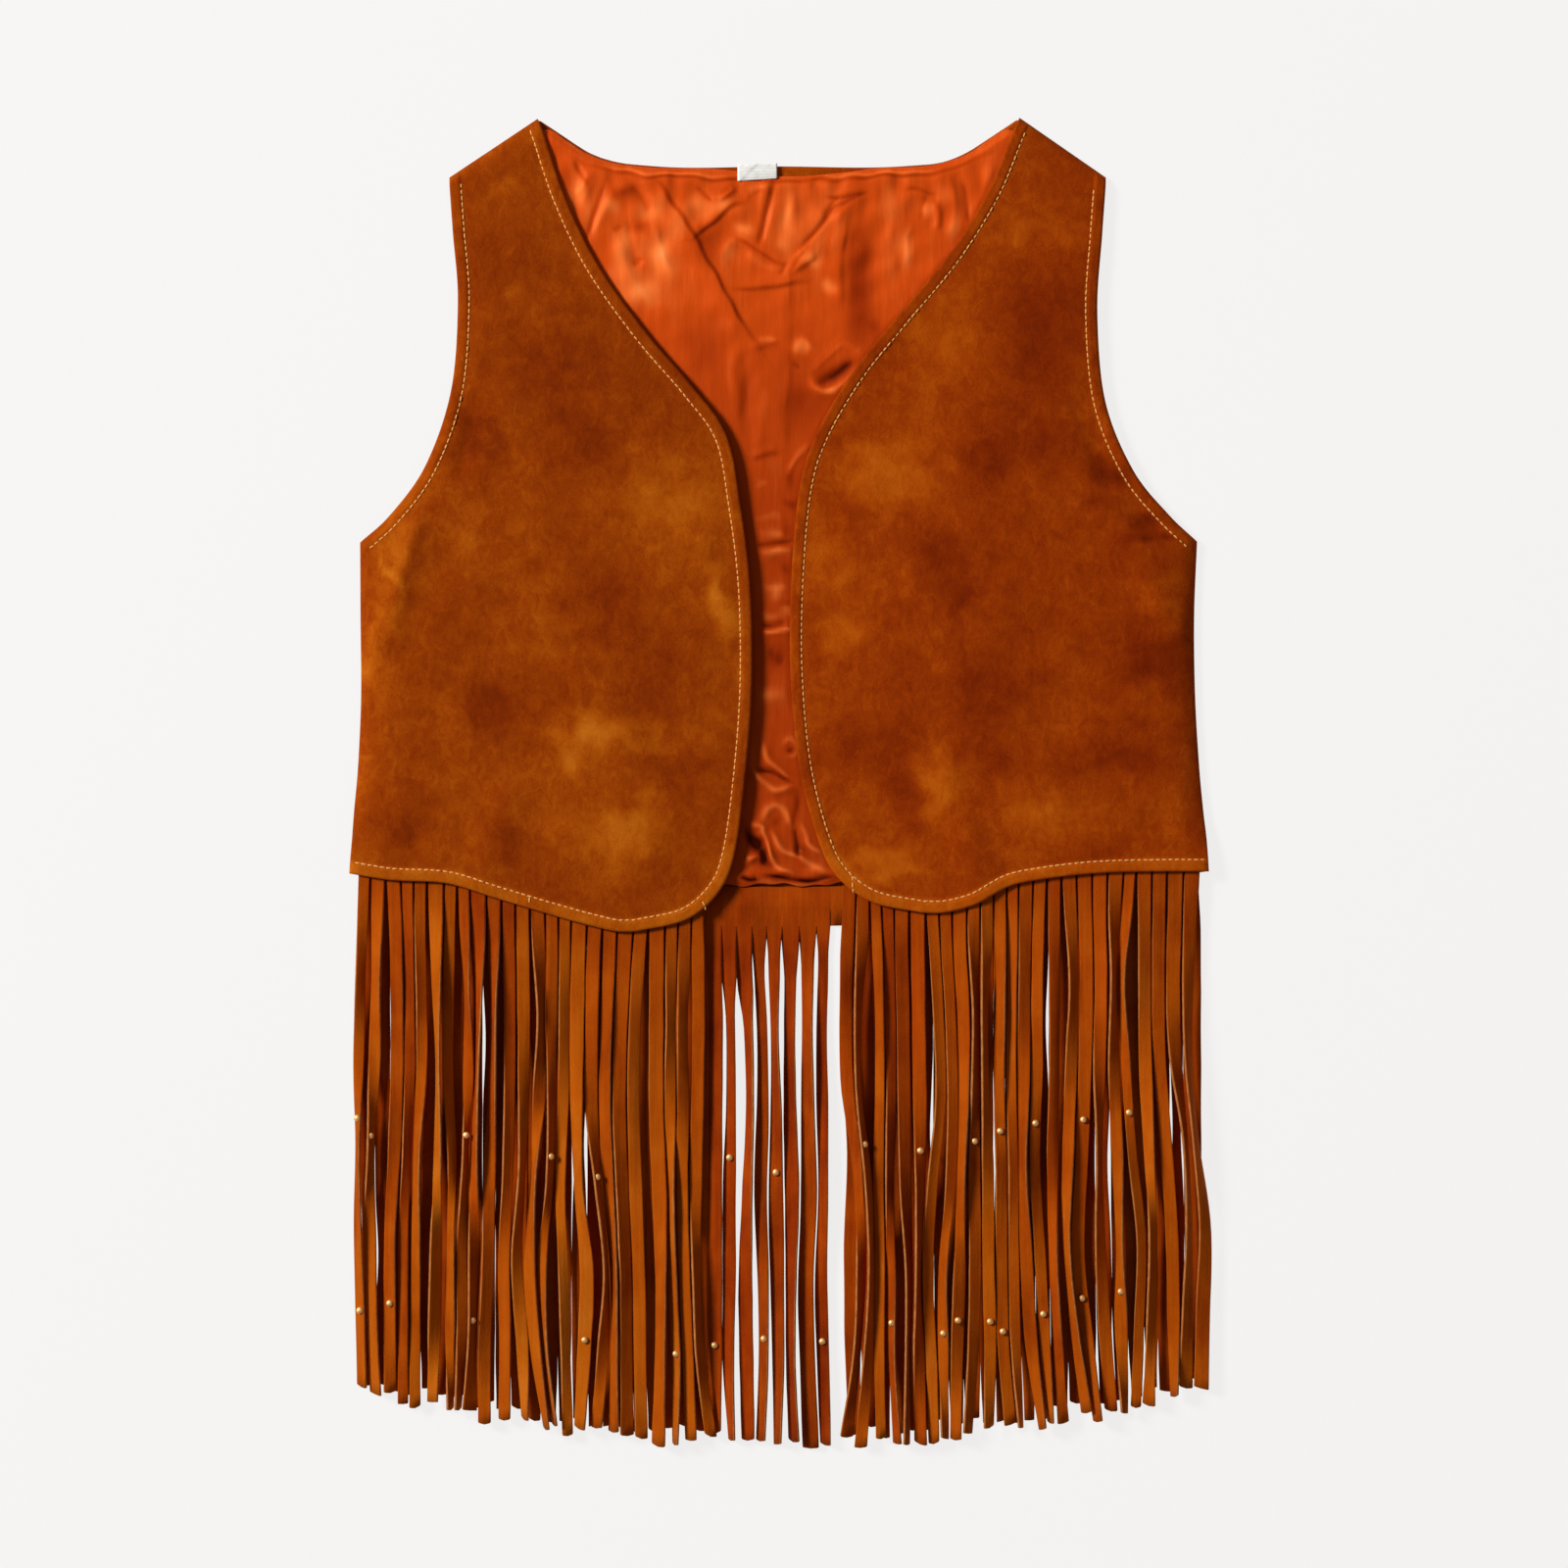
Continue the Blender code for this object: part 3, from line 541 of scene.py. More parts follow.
def cutEdgeFinish():
    # the raw edge of a strand, where the knife left the pale middle of the hide
    cut = Finish("cutSuede", {"Specular IOR Level": 0.0})
    fibres = cut.noise(cut.place((1, 0.3, 1)), 700.0, 4.0, 0.65)
    return cut.done(
        colour=cut.ramp(fibres, [(0.25, strandLook["cutEdge"][0]), (0.75, strandLook["cutEdge"][1])]),
        rough=0.95 - 0.1 * fibres,
        normal=cut.bump(fibres, 0.0002),
    )


satinLook = {
    "tones": [  # from painted shade in a crease to a painted highlight on a fold
        (0.0, tint(64, 6, 0)),
        (0.25, tint(150, 42, 5)),
        (0.5, tint(204, 71, 13)),
        (0.75, tint(246, 116, 48)),
        (1.0, tint(255, 150, 84)),
    ],
    "lowShadeTint": (0.56, 0.5, 0.45, 1.0),  # painted shade, darker down between the fronts
    "roughness": 0.42,
}


def satinFinish():
    # lining satin: a soft sheen, fine vertical threads, and slight changes of dye, with painted highlights
    # and painted shade from the lining's attributes
    satin = Finish("liningSatin", {"Specular IOR Level": 0.16, "Specular Tint": tint(255, 168, 92),
                                   "Sheen Weight": 0.05, "Sheen Tint": tint(255, 150, 80)})
    dye = satin.noise(satin.place((1, 0.5, 1)), 60.0, 3.0)
    threads = satin.noise(satin.place((1, 0.02, 1)), 2600.0, 2.0)
    streaks = satin.noise(satin.place((1, 0.1, 1)), 280.0, 3.0, 0.6)
    sheen = satin.attribute("sheen")
    tone = 0.5 + 0.25 * sheen + 0.16 * (dye - 0.5) + 0.16 * (streaks - 0.5) + 0.05 * (threads - 0.5)
    low = satin.attribute("lowShade")
    colour = satin.ramp(tone, satinLook["tones"])
    return satin.done(
        colour=satin.multiply(low, colour, satinLook["lowShadeTint"]),
        rough=satinLook["roughness"] + 0.16 * (dye - 0.5),
        normal=satin.bump(0.3 * threads + dye, 0.00025),
    )


def threadFinish():
    # pale gold sewing thread with its twist
    thread = Finish("goldThread", {"Specular IOR Level": 0.4, "Sheen Weight": 0.1})
    twist = thread.noise(thread.place(), 2400.0, 2.0)
    return thread.done(
        colour=thread.ramp(twist, [(0.3, tint(208, 132, 52)), (0.7, tint(240, 176, 94))]),
        rough=0.5 + 0.2 * twist,
        normal=thread.bump(twist, 0.00012),
    )


def brassFinish():
    # small brass beads, a little tarnished
    brass = Finish("beadBrass", {"Metallic": 1.0})
    tarnish = brass.noise(brass.place(), 900.0, 3.0)
    return brass.done(
        colour=brass.ramp(tarnish, [(0.3, tint(238, 176, 98)), (0.7, tint(255, 214, 150))]),
        rough=0.52 + 0.15 * tarnish,
    )


def labelFinish():
    # a plain woven tape: fine ribs across it
    tape = Finish("labelTape", {"Specular IOR Level": 0.4, "Sheen Weight": 0.15})
    weave = {"Vector": tape.place(), "Scale": 420.0, "Distortion": 0.6}
    ribs = tape.node("TexWave", {"bands_direction": "Y"}, weave)
    grey = tape.noise(tape.place(), 260.0, 3.0)
    return tape.done(
        colour=tape.ramp(grey, [(0.3, tint(226, 222, 214)), (0.7, tint(247, 245, 240))]),
        rough=0.55 + 0.15 * grey,
        normal=tape.bump(ribs, 0.00012),
    )


brushedSuede = suedeFinish()
fringeSuede = strandFinish()
cutSuede = cutEdgeFinish()
liningSatin = satinFinish()
goldThread = threadFinish()
beadBrass = brassFinish()
labelTape = labelFinish()
print("finishes made")


# The two fronts. Sections run from the side seam or armhole to the front edge or neckline, from the hem up:
# side x, side y, edge x, edge y, then the air under the front at its side, middle and edge.
rightFront = {
    "name": "rightFrontSuede",
    "sections": [
        (-218.5, -45.5, -72.5, -75.0, 5.0, 5.9, 6.0),
        (-218.0, -38.0, -47.0, -69.0, 4.9, 5.9, 6.1),
        (-217.3, -28.0, -30.5, -55.0, 3.4, 5.9, 6.2),
        (-216.5, -14.0, -22.5, -35.5, 1.2, 5.9, 6.4),
        (-214.5, 10.0, -17.0, 4.0, gap, 5.8, 6.8),
        (-213.0, 45.0, -13.7, 50.0, gap, 6.0, 7.0),
        (-213.3, 85.0, -14.5, 100.0, gap, 6.2, 6.8),
        (-213.5, 123.0, -19.5, 142.0, gap, 6.2, 6.4),
        (-198.0, 137.0, -26.5, 177.0, 2.0, 6.0, 6.0),
        (-180.0, 162.0, -44.0, 202.0, 2.4, 5.6, 5.2),
        (-167.0, 200.0, -67.5, 229.5, 2.4, 5.0, 4.4),
        (-163.5, 245.0, -92.0, 264.0, 2.2, 4.4, 3.8),
        (-166.0, 280.0, -108.5, 298.0, 2.2, 3.8, 3.4),
        (-167.6, 302.0, -119.5, 330.5, 2.0, 2.8, 2.6),
        (-168.0, 309.0, -123.0, 339.0, gap, gap, gap),
    ],
    "hem": [
        (0.0, 0.0), (0.13, 0.7), (0.36, 5.0), (0.50, 2.7),
        (0.70, -0.2), (0.85, -1.8), (0.94, -1.9), (1.0, 0.0),
    ],
    "folds": [
        (-186.0, 128.0, -198.0, 78.0, 9.0, 1.4),
        (-156.0, 190.0, -162.0, 160.0, 7.0, -1.1),
        (-150.0, -48.0, -138.0, -10.0, 10.0, 1.0),
        (-95.0, 40.0, -70.0, -20.0, 22.0, 0.9),
    ],
    "creases": [  # rise, width left, width right, shade, then the line
        (0.8, 4, 3, 0, (-196.5, 80), (-194, 98), (-188, 118), (-181, 137)),
        (-0.8, 4, 5, 0, (-157, 187), (-158, 176), (-161, 160)),
        (0.35, 2.2, 2.2, 0, (-105, 92), (-96, 78), (-88, 64)),
        (0.3, 2.0, 3.0, 0, (-128, 120), (-104, 112)),
        (-0.5, 6, 6, 0, (-150, 60), (-143, 28)),
        (-0.5, 9, 9, 0, (-78, 52), (-48, 2), (-40, -18)),
        (0.6, 12, 7, 0, (-112, 24), (-72, 20)),
        (0.5, 8, 8, 0, (-84, -12), (-60, -40)),
        (-0.45, 5, 5, 0, (-178, -8), (-188, -36)),
        (0.4, 5, 5, 0, (-206, 88), (-208, 40)),
        (0.5, 7, 4, 0, (-44, 130), (-28, 92), (-26, 70)),
        (-0.35, 8, 8, 0, (-140, 224), (-118, 214)),
    ],
    # nap patches; some paint shade in the troughs, and the lit and the shaded flank of the underarm ridge
    "nap": [  # x, y, half width, half height, tone
        (-92, 22, 22, 9, 1.1),
        (-75, -24, 20, 17, 0.9),
        (-29, 92, 8, 12, 1.2),
        (-52, 145, 24, 16, 0.55),
        (-197, 104, 3.4, 16, 0.8),
        (-189, 124, 3.4, 8, 0.6),
        (-188, 100, 3, 14, -0.5),
        (-205, 64, 6, 30, 0.4),
        (-130, 247, 7, 7, 0.7),
        (-137, 303, 8, 7, 0.5),
        (-160, 127, 10, 10, 0.35),
        (-154, 176, 9, 16, -0.75),
        (-145, 42, 14, 17, -0.6),
        (-67, 45, 17, 15, -0.6),
        (-100, 180, 34, 24, -0.5),
        (-87, 87, 27, 22, -0.55),
        (-50, 7, 15, 13, -0.6),
        (-192, -25, 15, 15, -0.6),
        (-136, -24, 12, 10, -0.4),
        (-112, 214, 24, 12, -0.4),
        (-138, 262, 34, 60, -0.25),
    ],
    "backtacks": [(-126.7, -58.9, 82.0), (-38.2, -60.8, -62.0), (-37.6, -62.6, -76.0)],
    "grainSeed": 5,
    "redder": 0.1,  # how far its hide leans to red
}
leftFront = {
    "name": "leftFrontSuede",
    "sections": [
        (218.5, -44.5, 72.5, -65.5, 5.0, 5.9, 5.9),
        (218.0, -36.0, 47.0, -60.0, 4.9, 5.9, 5.9),
        (217.3, -26.0, 29.0, -46.5, 3.4, 5.8, 5.7),
        (216.0, -13.0, 19.0, -26.0, 1.2, 5.7, 5.0),
        (214.0, 10.0, 10.0, 10.0, gap, 5.7, 4.3),
        (212.0, 45.0, 5.8, 55.0, gap, 5.8, 4.0),
        (211.5, 85.0, 6.0, 100.0, gap, 6.0, 4.0),
        (213.0, 123.5, 10.0, 148.0, gap, 6.0, 4.0),
        (198.0, 137.5, 18.5, 177.0, 2.0, 5.8, 4.0),
        (180.0, 160.0, 37.0, 209.0, 2.4, 5.4, 4.0),
        (166.0, 195.0, 59.0, 236.5, 2.4, 5.0, 3.8),
        (162.0, 240.0, 86.0, 269.0, 2.2, 4.4, 3.6),
        (164.5, 280.0, 106.0, 301.0, 2.2, 3.8, 3.4),
        (166.1, 302.0, 118.5, 331.0, 2.0, 2.8, 2.6),
        (166.5, 309.0, 122.5, 339.5, gap, gap, gap),
    ],
    "hem": [
        (0.0, 0.0), (0.16, 3.4), (0.44, 7.8), (0.58, 8.2), (0.69, 7.2), (0.82, 0.0), (0.93, -1.5), (1.0, 0.0),
    ],
    "folds": [
        (153.0, 190.0, 188.0, 133.0, 8.0, -1.6),
        (182.0, 118.0, 200.0, 78.0, 10.0, 1.2),
        (103.0, -58.0, 94.0, -20.0, 8.0, 1.3),
        (70.0, 120.0, 95.0, 40.0, 24.0, 0.9),
    ],
    "creases": [
        (-0.9, 5, 4, 0, (158, 176), (163, 158), (171, 146)),
        (-0.8, 4, 4, 0, (178, 132), (190, 126), (203, 121)),
        (0.6, 5, 5, 0, (186, 112), (192, 96), (194, 80)),
        (0.5, 4, 3, 0, (147, 190), (150, 176)),
        (-0.5, 8, 8, 0, (105, 20), (103, -4)),
        (-0.45, 7, 7, 0, (66, 4), (62, -16)),
        (0.55, 6, 6, 0, (84, 16), (84, -24)),
        (0.5, 10, 10, 0, (52, 168), (30, 120)),
        (-0.5, 11, 11, 0, (84, 126), (92, 90)),
        (0.5, 9, 9, 0, (118, 0), (146, -16)),
        (0.4, 7, 5, 0, (74, 262), (48, 210)),
        (-0.4, 9, 9, 0, (128, 250), (134, 206)),
        (0.4, 6, 6, 0, (204, 10), (203, -28)),
    ],
    # nap patches; some paint shade in the troughs by the armhole
    "nap": [
        (52, 160, 23, 13, 0.85),
        (25, 110, 14, 16, 0.65),
        (32, 77, 12, 10, 0.65),
        (80, 226, 16, 22, 0.45),
        (122, 282, 14, 14, 0.45),
        (84, -2, 9, 16, 0.9),
        (130, -12, 16, 10, 0.65),
        (52, -44, 24, 6, 0.7),
        (197, 90, 10, 15, 0.5),
        (203, -10, 8, 24, 0.45),
        (164, 155, 6, 12, -1.0),
        (190, 126, 11, 4.5, -0.8),
        (134, 226, 22, 34, -0.65),
        (137, 172, 16, 10, -0.45),
        (105, 167, 18, 11, -0.45),
        (82, 120, 16, 13, -0.65),
        (90, 95, 12, 10, -0.65),
        (190, 70, 20, 18, -0.75),
        (105, 50, 17, 15, -0.65),
        (105, 12, 7, 11, -0.65),
        (65, -5, 8, 13, -0.6),
        (172, 17, 22, 12, -0.5),
        (52, 22, 20, 15, -0.35),
    ],
    "backtacks": [(37.4, -48.2, 90.0), (37.4, -51.4, 88.0), (37.6, -54.0, 92.0)],
    "grainSeed": 9,
    "redder": 0.8,
}
frontCut = {
    "cornerRow": 7,  # the underarm, the only sharp corner along a side
    "sideRoll": 7.0,  # how quickly a front rises from its side seam
    "hemReach": 34.0,  # the hem's waves fade out this far above it
    "rowsPerSection": (14, 12, 12, 14, 20, 20, 20, 14, 14, 16, 18, 14, 12, 8),
    "edgeColumns": (0, 0.0006, 0.0018, 0.0035, 0.006, 0.010, 0.014, 0.018, 0.022, 0.026, 0.030, 0.034, 0.038),
    "middleFrom": 0.044,
    "middleColumns": 84,
    "rimRadius": 1.5,
    "turnWidth": 6.0,  # a turned edge is stitched down this far in
    "turnRise": 0.75,
    "grooveDepth": 0.5,
    "patchStray": 9.0,  # how unevenly the patches of nap and painted shading are outlined
    "hemGold": 0.6,  # the turned hem is brushed lighter
}


def sideLine(front, rows):
    # side seam, then armhole: two smooth curves that meet in a corner at the underarm
    corner = frontCut["cornerRow"]
    points = np.array(front["sections"])[:, :2]
    counts = np.arange(len(points))
    seam = smoothCurve(counts[: corner + 1], points[: corner + 1], np.minimum(rows, corner))
    armhole = smoothCurve(counts[corner:], points[corner:], np.maximum(rows, corner))
    return np.where((rows <= corner)[:, None], seam, armhole)


def frontUnder(front, rows, u):
    # underside of a front: straight from side to edge along each section, lofted smoothly through the
    # sections; the hem's lift fades upwards, and the height rises from the side as 1 - exp(-distance / roll)
    sections = np.array(front["sections"])
    counts = np.arange(len(sections))
    side = sideLine(front, rows)
    edge = smoothCurve(counts, sections[:, 2:4], rows)
    sideAir, crownAir, edgeAir = np.maximum(smoothCurve(counts, sections[:, 4:], rows), gap).T[:, :, None]
    flat = side[:, None] * (1 - u)[None, :, None] + edge[:, None] * u[None, :, None]
    x, y = flat[..., 0], flat[..., 1]
    shares, lifts = np.array(front["hem"]).T
    y = y + smoothCurve(shares, lifts, u) * (1 - ease(0.0, frontCut["hemReach"], y - y[0]))
    fromSide = np.hypot(*(edge - side).T)[:, None] * u[None, :]
    z = sideAir + (crownAir - sideAir) * (1 - np.exp(-fromSide / frontCut["sideRoll"]))
    z = z + (edgeAir - crownAir) * ease(0.5, 1.0, u)[None, :]
    inner = ease(0.0, frontCut["sideRoll"], fromSide) * ease(0.0, 3.0, counts[-1] - rows)[:, None]
    z = z + bellFolds(front["folds"], x, y) * inner
    return np.stack([x, y, backTop + z], axis=-1)


def fineRows(counts):
    # loft places, with so many rows between each two sections, and the first few close together at the hem
    rows = [i + np.arange(n) / n for i, n in enumerate(counts)]
    rows[0] = rows[0] ** 1.7
    return np.concatenate([*rows, [len(counts)]])


def turnedEdge(fromEdge):
    # a folded and topstitched edge: raised over the turn-in, with a groove along the stitches
    width = frontCut["turnWidth"]
    raised = frontCut["turnRise"] * (1 - ease(width - 1.0, width + 1.6, fromEdge))
    return raised - frontCut["grooveDepth"] * np.exp(-(((fromEdge - width) / 0.9) ** 2))


def frontPanel(front):
    # fine shell of a front: its solid's underside with the smaller creases, a wall with a rounded rim, and
    # turned edges along hem, front edge, neckline and armhole
    near = np.array(frontCut["edgeColumns"])
    between = np.linspace(frontCut["middleFrom"], 1 - frontCut["middleFrom"], frontCut["middleColumns"])
    u = np.concatenate([near, between, 1 - near[::-1]])
    rows = fineRows(frontCut["rowsPerSection"])
    under = frontUnder(front, rows, u)
    x, y = under[..., 0], under[..., 1]
    underarm = np.searchsorted(rows, frontCut["cornerRow"])
    openEdge = np.concatenate([under[0, :, :2], under[1:, -1, :2]])
    armhole, sideSeam = under[underarm:, 0, :2], under[: underarm + 1, 0, :2]
    fromTurn = np.minimum(distanceTo(openEdge[::2], x, y), distanceTo(armhole, x, y))
    fromSeam = np.minimum(distanceTo(sideSeam[::2], x, y), distanceTo(under[-1, :, :2], x, y))
    fromRim = np.minimum(fromTurn, fromSeam)
    calm = ease(0.0, 12.0, fromSeam)
    drape = creaseRelief(front["creases"], x, y)[0] + 0.3 * softWaves(front["grainSeed"], x, y, (38, 70))
    under[..., 2] += drape * calm
    pucker = 1 + 0.25 * softWaves(front["grainSeed"] + 1, x, y, (9, 14))
    thickness = wall["suede"] + turnedEdge(fromTurn) * pucker * ease(0.0, 3.0, fromSeam)
    upper, lower = roundedWall(under, thickness, fromRim, frontCut["rimRadius"])
    stray = [frontCut["patchStray"] * softWaves(front["grainSeed"] + i, x, y, (17, 29, 52)) for i in (20, 30)]
    # nap, with the painted shade and painted highlights of the listed patches, and a lighter brushed hem
    nap = patchTone(front["nap"], x + stray[0], y + stray[1])
    nap += frontCut["hemGold"] * (1 - ease(5.0, 8.5, fromTurn)) * (1 - ease(-45.0, -15.0, y))
    redder = np.full_like(nap, front["redder"])
    panel = addShell(front["name"], upper, lower, brushedSuede, {"nap": nap, "redder": redder})
    return {"object": panel, "upper": upper, "under": under, "openEdge": openEdge, "armhole": armhole}


rightPanel = frontPanel(rightFront)
leftPanel = frontPanel(leftFront)
print("fronts made")


# Topstitching along the turned edges, with backtacks where the thread was joined.
topstitch = {
    "pitch": 3.2,
    "length": 2.75,
    "width": 0.84,
    "height": 0.6,
    "shareRows": (-1.0, -0.82, -0.4, 0.4, 0.82, 1.0),
    "roundness": (0.3, 0.72, 1.0, 1.0, 0.72, 0.3),
    "ringPoints": 6,
    "seed": 3,
}


def stitchMesh(name, centres, angles, heights, rng):
    # a short round-ended bar, its width and height scaled by the roundness along it, repeated at each stitch;
    # its ends dip as the square of the distance from its middle
    share, swell = np.array(topstitch["shareRows"]), np.array(topstitch["roundness"])
    turn = np.arange(topstitch["ringPoints"]) * 2 * np.pi / topstitch["ringPoints"]
    size = 1 + 0.1 * rng.uniform(-1, 1, len(centres))
    angles = angles + 0.06 * rng.uniform(-1, 1, len(centres))
    along = share[None, :, None] * topstitch["length"] / 2 * size[:, None, None]
    across = swell[:, None] * np.cos(turn) * topstitch["width"] / 2
    up = swell[:, None] * np.sin(turn) * topstitch["height"] / 2 - 0.35 * share[:, None] ** 2
    cos, sin = np.cos(angles)[:, None, None], np.sin(angles)[:, None, None]
    points = np.stack(
        [
            centres[:, 0, None, None] + along * cos - across * sin,
            centres[:, 1, None, None] + along * sin + across * cos,
            np.broadcast_to(heights[:, None, None] + up, (len(centres), *across.shape)),
        ],
        axis=-1,
    )
    ring = np.arange(share.size * turn.size).reshape(share.size, turn.size)
    ring = np.concatenate([ring, ring[:, :1]], axis=1)
    quads = gridQuads(ring)[:, ::-1]
    caps = np.stack([ring[0, :-1], ring[-1, -2::-1]])
    first = np.arange(len(centres))[:, None, None] * share.size * turn.size
    faces = (first + quads).reshape(-1, 4).tolist() + (first + caps).reshape(-1, turn.size).tolist()
    return addObject(name, points, faces, [goldThread])


def stitchPlaces(edge, inwardSide):
    # places and directions of stitches along an edge, moved in from it by the width of the turn
    even = np.arange(2.0, lineLength(edge) - 2.0, 1.0)
    line = alongLine(edge, even) + acrossLine(edge, even, 4.0) * frontCut["turnWidth"] * inwardSide
    at = np.arange(1.5, lineLength(line) - 2.5, topstitch["pitch"])
    left = acrossLine(line, at, 1.5)
    return alongLine(line, at), np.arctan2(-left[:, 0], left[:, 1])


def stitchPanel(name, front, panel, inwardSide):
    rng = np.random.default_rng(topstitch["seed"] + front["grainSeed"])
    edge, edgeAngles = stitchPlaces(panel["openEdge"], inwardSide)
    arm, armAngles = stitchPlaces(panel["armhole"], -inwardSide)
    tacks = np.array(front["backtacks"])
    centres = np.concatenate([edge, arm, tacks[:, :2]])
    angles = np.concatenate([edgeAngles, armAngles, np.radians(tacks[:, 2])])
    heights = nearestHeight(panel["upper"], centres) + topstitch["height"] * 0.32
    return stitchMesh(name, centres, angles, heights, rng)


rightStitch = stitchPanel("rightFrontStitching", rightFront, rightPanel, 1)
leftStitch = stitchPanel("leftFrontStitching", leftFront, leftPanel, -1)
print("topstitching made")


def coonsPatch(hem, top, right, left, u, v):
    # a patch between four edges, by rows and columns: the two ways of joining opposite edges, less the plain
    # corner-to-corner one
    across, up = u[..., None], v[..., None]
    betweenEnds = (1 - up) * hem + up * top
    betweenSides = (1 - across) * right + across * left
    lowCorners = (1 - across) * hem[:, :1] + across * hem[:, -1:]
    topCorners = (1 - across) * top[:, :1] + across * top[:, -1:]
    return betweenEnds + betweenSides - (1 - up) * lowCorners - up * topCorners


# The back, which lies flat on the floor.
backCut = {
    "name": "backSuede",
    "sideTuck": 1.0,
    "hemSide": -44.5,
    "hemDrop": 18.0,
    "neck": [
        (-123.0, 339.0), (-108.5, 329.4), (-97.5, 322.2), (-84.0, 317.4), (-67.5, 315.4), (0.0, 315.0),
        (67.5, 315.4), (84.0, 317.2), (95.0, 321.6), (107.5, 329.6), (122.5, 339.5),
    ],
    "columns": 110,
    "rowsPerSection": 8,
    "rimRadius": 1.0,
}


def backHem(x):
    # a shallow arc, lowest at the centre
    half = abs(rightFront["sections"][0][0])
    return backCut["hemSide"] - backCut["hemDrop"] * (1 - (x / half) ** 2)


def backPanel():
    # a flat shell between the side lines of the two fronts, the hem's arc, and the shoulders and neck
    rows = np.linspace(0, 14, 14 * backCut["rowsPerSection"] + 1)
    v = rows / 14
    rim = np.array([0.0, 0.001, 0.0025])
    u = np.concatenate([rim, np.linspace(0.005, 0.995, backCut["columns"]), 1 - rim[::-1]])
    right = sideLine(rightFront, rows) + [backCut["sideTuck"], 0]
    left = sideLine(leftFront, rows) - [backCut["sideTuck"], 0]
    hemX = right[0, 0] + (left[0, 0] - right[0, 0]) * u
    hem = np.stack([hemX, backHem(hemX)], axis=-1)
    right[0], left[0] = hem[0], hem[-1]
    neck = np.array(backCut["neck"])
    neckX = np.linspace(neck[0, 0], neck[-1, 0], 40)
    neck = smoothCurve(neck[:, 0], neck, neckX)
    top = np.concatenate([right[-1:], neck, left[-1:]])
    top = alongLine(top, u * lineLength(top))
    flat = coonsPatch(hem[None], top[None], right[:, None], left[:, None], u[None], v[:, None])
    x, y = flat[..., 0], flat[..., 1]
    rim = np.concatenate([right, top, left[::-1], hem[::-1]])
    under = np.concatenate([flat, np.zeros_like(flat[..., :1])], axis=-1)
    upper, lower = roundedWall(under, wall["suede"], distanceTo(rim, x, y), backCut["rimRadius"])
    nap = 0.5 * softWaves(21, x, y, (60, 110))
    redder = np.full_like(nap, 0.5)
    return addShell(backCut["name"], upper, lower, brushedSuede, {"nap": nap, "redder": redder})


backShell = backPanel()
print("back made")


